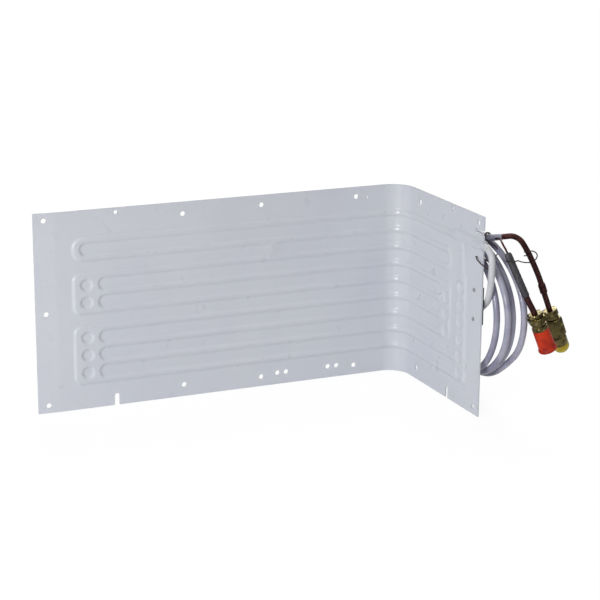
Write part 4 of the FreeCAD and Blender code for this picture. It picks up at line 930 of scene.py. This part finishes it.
front_rings += turned(
    (8.3, 7.0), (9.6, 7.0), (10.6, 6.6), (12.0, 7.0), (12.6, 7.05), (12.7, 7.7), (13.1, 7.95),
    (15.4, 7.95), (15.9, 7.6),
)
thread = thread_start
while thread < thread_end:
    front_rings += turned(
        (thread, thread_crest), (thread + 0.35, thread_root), (thread + 0.7, thread_crest)
    )
    thread += thread_pitch
front_rings += turned((36.9, 7.5), (37.5, 6.8), (37.5, 3.9), (31.0, 3.8))
front_mesh = turned_mesh(front_rings, front_top, front_axis, front_spin)
front_body = new_piece("front_coupling", *front_mesh, brass, "panel", "brass")
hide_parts("male_body", "male_adapter")

cap_plastic, cap_shader, cap_place = new_finish(
    "red_cap_plastic", Specular_IOR_Level=0.35, Subsurface_Weight=0.08, Subsurface_Scale=0.001
)
orange = cap_place.colour(rgb(200, 50, 4))
deep_red = cap_place.colour(rgb(150, 26, 4))
flow = cap_place.noise(90.0, 3.0)
feed(
    cap_shader,
    Base_Color=orange.blend(deep_red, flow.ramp(0.4, 0.7)),
    Roughness=0.3 + flow * 0.15,
    Normal=cap_place.noise(800.0, 2.0).bump(0.1, 0.0002),
)
cap_rings = turned(
    (37.9, 7.62), (16.5, 7.62), (16.15, 7.65), (16.1, 7.8), (16.3, 7.95), (17.0, 8.0), (27.0, 8.2),
    (34.4, 8.4), (36.6, 8.5), (37.0, 8.7), (37.2, 9.1), (37.6, 9.35), (39.0, 9.35), (39.7, 9.1),
    (40.1, 8.6), (40.2, 8.0), (40.15, 6.6), (39.8, 6.2), (39.7, 3.0), (39.9, 1.4), (39.9, 0.4),
)
cap_mesh = turned_mesh(cap_rings, front_top, front_axis)
cap = new_piece("red_cap", *cap_mesh, cap_plastic, "panel", "cap_red", 50.0)
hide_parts("male_cap")

# Rear coupling: the brass body with its small hexagon, the loose union nut held by a spring ring, and
# a moulded yellow plug pressed into the nut.
rear_spin, nut_spin = 0.3, math.radians(8.0)
rear_flats, nut_flats = 14.0, 16.0
rear_rings = turned((2.0, 2.8), (-0.9, 2.85)) + chamfered_hexagon(-0.9, 4.8, rear_flats, -0.2)
rear_rings += turned(
    (4.9, 6.3), (5.6, 6.3), (5.7, 6.6), (8.2, 6.6), (8.3, 6.2), (8.9, 6.2), (9.0, 6.5), (28.0, 6.5),
    (28.1, 5.9), (31.2, 5.9), (31.5, 5.6), (31.5, 4.0), (27.5, 3.9),
)
rear_mesh = turned_mesh(rear_rings, rear_top, rear_axis, rear_spin)
rear_body = new_piece("rear_coupling", *rear_mesh, brass, "panel", "brass")
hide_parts("female_body", "female_adapter")
nut_rings = turned((20.0, 7.5), (12.3, 7.4), (12.2, 6.75), (9.1, 6.7), (9.0, 7.0))
nut_rings += chamfered_hexagon(9.0, 27.6, nut_flats)
nut_rings += turned(
    (27.8, 7.3), (29.0, 7.3), (29.3, 8.0), (37.6, 8.05), (38.1, 7.8), (38.1, 7.45), (35.0, 7.4)
)
nut_verts, nut_faces = turned_mesh(nut_rings, rear_top, rear_axis, nut_spin)
# The nut is open right through: a ring of faces along its bore takes the place of the closed ends.
end_ring = len(nut_verts) - turned_sides
nut_bore = [
    (end_ring + k, end_ring + (k + 1) % turned_sides, (k + 1) % turned_sides, k)
    for k in range(turned_sides)
]
nut = new_piece("union_nut_body", nut_verts, nut_faces[:-2] + nut_bore, brass, "nut", "brass")
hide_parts("union_nut")

plug_plastic, plug_shader, plug_place = new_finish(
    "yellow_plug_plastic",
    Coat_Weight=0.1,
    Coat_Roughness=0.25,
    Subsurface_Weight=0.08,
    Subsurface_Scale=0.001,
)
mustard = plug_place.colour(rgb(196, 176, 26))
shade = plug_place.colour(rgb(160, 138, 14))
swirl = plug_place.noise(100.0, 3.0)
feed(
    plug_shader,
    Base_Color=mustard.blend(shade, swirl.ramp(0.4, 0.7)),
    Roughness=0.34 + swirl * 0.15,
    Normal=plug_place.noise(800.0, 2.0).bump(0.1, 0.0002),
)
plug_rings = turned(
    (32.4, 6.2), (32.3, 6.9), (33.3, 7.38), (38.2, 7.38), (38.3, 7.7), (38.5, 7.95), (39.0, 8.05),
    (41.4, 8.05), (42.4, 7.65), (43.2, 7.3), (44.0, 6.7), (44.9, 6.0), (45.7, 5.2), (46.2, 4.4),
    (46.6, 3.6), (46.7, 2.9), (46.5, 1.6), (46.3, 0.6),
)
plug_mesh = turned_mesh(plug_rings, rear_top, rear_axis)
plug = new_piece("yellow_plug", *plug_mesh, plug_plastic, "nut", "plug_yellow", 50.0)
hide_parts("female_plug")

# Clip: moulded black plastic that holds a sensor against the back of the panel. Its two studs go
# through two small holes, and their ends on the open side are painted pale as a painted highlight. It
# keeps its shape.


def dress(finish, *nodes):
    """Gives the pieces that keep the shape of the source a better finish."""
    for node in nodes:
        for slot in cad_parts[node].material_slots:
            slot.material = finish


clip_plastic, clip_shader, clip_place = new_finish("clip_plastic", Coat_Weight=0.05)
grain = clip_place.noise(1200.0, 2.0)
depth_in = clip_place.make("ShaderNodeSeparateXYZ", {}, {0: clip_place}, output=0)
pitch = clip_place.colour(rgb(44, 44, 48))
ash = clip_place.colour(rgb(70, 70, 76))
# Painted highlight: the stud ends that come through on the open side, where the light falls, are
# painted pale.
painted_lit_ends = clip_place.colour(rgb(150, 152, 158))
moulded = pitch.blend(ash, clip_place.noise(90.0, 3.0).ramp(0.45, 0.75))
feed(
    clip_shader,
    Base_Color=moulded.blend(painted_lit_ends, depth_in.ramp(-0.0015, -0.0017)),
    Roughness=0.45 + grain * 0.15,
    Normal=grain.bump(0.3, 0.0003),
)
dress(clip_plastic, "sensor_clip")

# Springs: the ring that holds the union nut keeps its shape. The two valve springs are wound from
# round wire, with their end turns closed.
steel, steel_shader, steel_place = new_finish("spring_steel", Metallic=1.0)
drawn = steel_place.noise(600.0, 2.0, (1.0, 1.0, 0.2))
silver = steel_place.colour(rgb(190, 190, 194))
dull = steel_place.colour(rgb(132, 130, 134))
feed(
    steel_shader,
    Base_Color=silver.blend(dull, drawn.ramp(0.4, 0.7)),
    Roughness=0.2 + drawn * 0.2,
)
dress(steel, "nut_ring")
spring_radius, spring_wire, valve_travel = 3.87, 0.45, 3.0
points_a_turn, closed_turn = 24, 0.75


def wound_spring(top, axis, start, end, turns):
    """A spring of round wire with its end turns closed, from start to end along an axis."""
    across = axis.cross(Vector((0.0, 1.0, 0.0))).normalized()
    upward = axis.cross(across)
    points = []
    for step in range(turns * points_a_turn + 1):
        turn = step / points_a_turn
        share = min(max((turn - closed_turn) / (turns - 2 * closed_turn), 0.0), 1.0)
        place = start + spring_wire + (end - start - 2 * spring_wire) * share
        ray = across * math.cos(2 * math.pi * turn) + upward * math.sin(2 * math.pi * turn)
        points.append(top + axis * place + ray * spring_radius)
    return tube_mesh(points, spring_wire, 10)


for name, node, slide, top, axis, start, end, turns in (
    ("front_valve_spring", "male_spring", "liquid_poppet_slide", front_top, front_axis, 8.2, 26.8, 6),
    ("rear_valve_spring", "female_spring", "suction_poppet_slide", rear_top, rear_axis, 15.2, 22.8, 3),
):
    spring_mesh = wound_spring(top, axis, start, end, turns)
    spring = new_piece(name, *spring_mesh, steel, "panel", "spring_steel")
    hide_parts(node)
    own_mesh(spring)

# Poppets and seals: each coupling is shut by a turned brass poppet that carries a moulded rubber ring.
# They sit inside the couplings, slide with the poppets and keep the shape of the source.
rubber, rubber_shader, rubber_place = new_finish("seal_rubber", Specular_IOR_Level=0.4)
bloom = rubber_place.noise(400.0, 3.0)
black = rubber_place.colour(rgb(34, 34, 36))
chalky = rubber_place.colour(rgb(58, 58, 60))
feed(
    rubber_shader,
    Base_Color=black.blend(chalky, bloom.ramp(0.5, 0.8)),
    Roughness=0.5 + bloom * 0.2,
)
dress(brass, "male_poppet", "female_poppet")
dress(rubber, "male_seal", "female_seal")
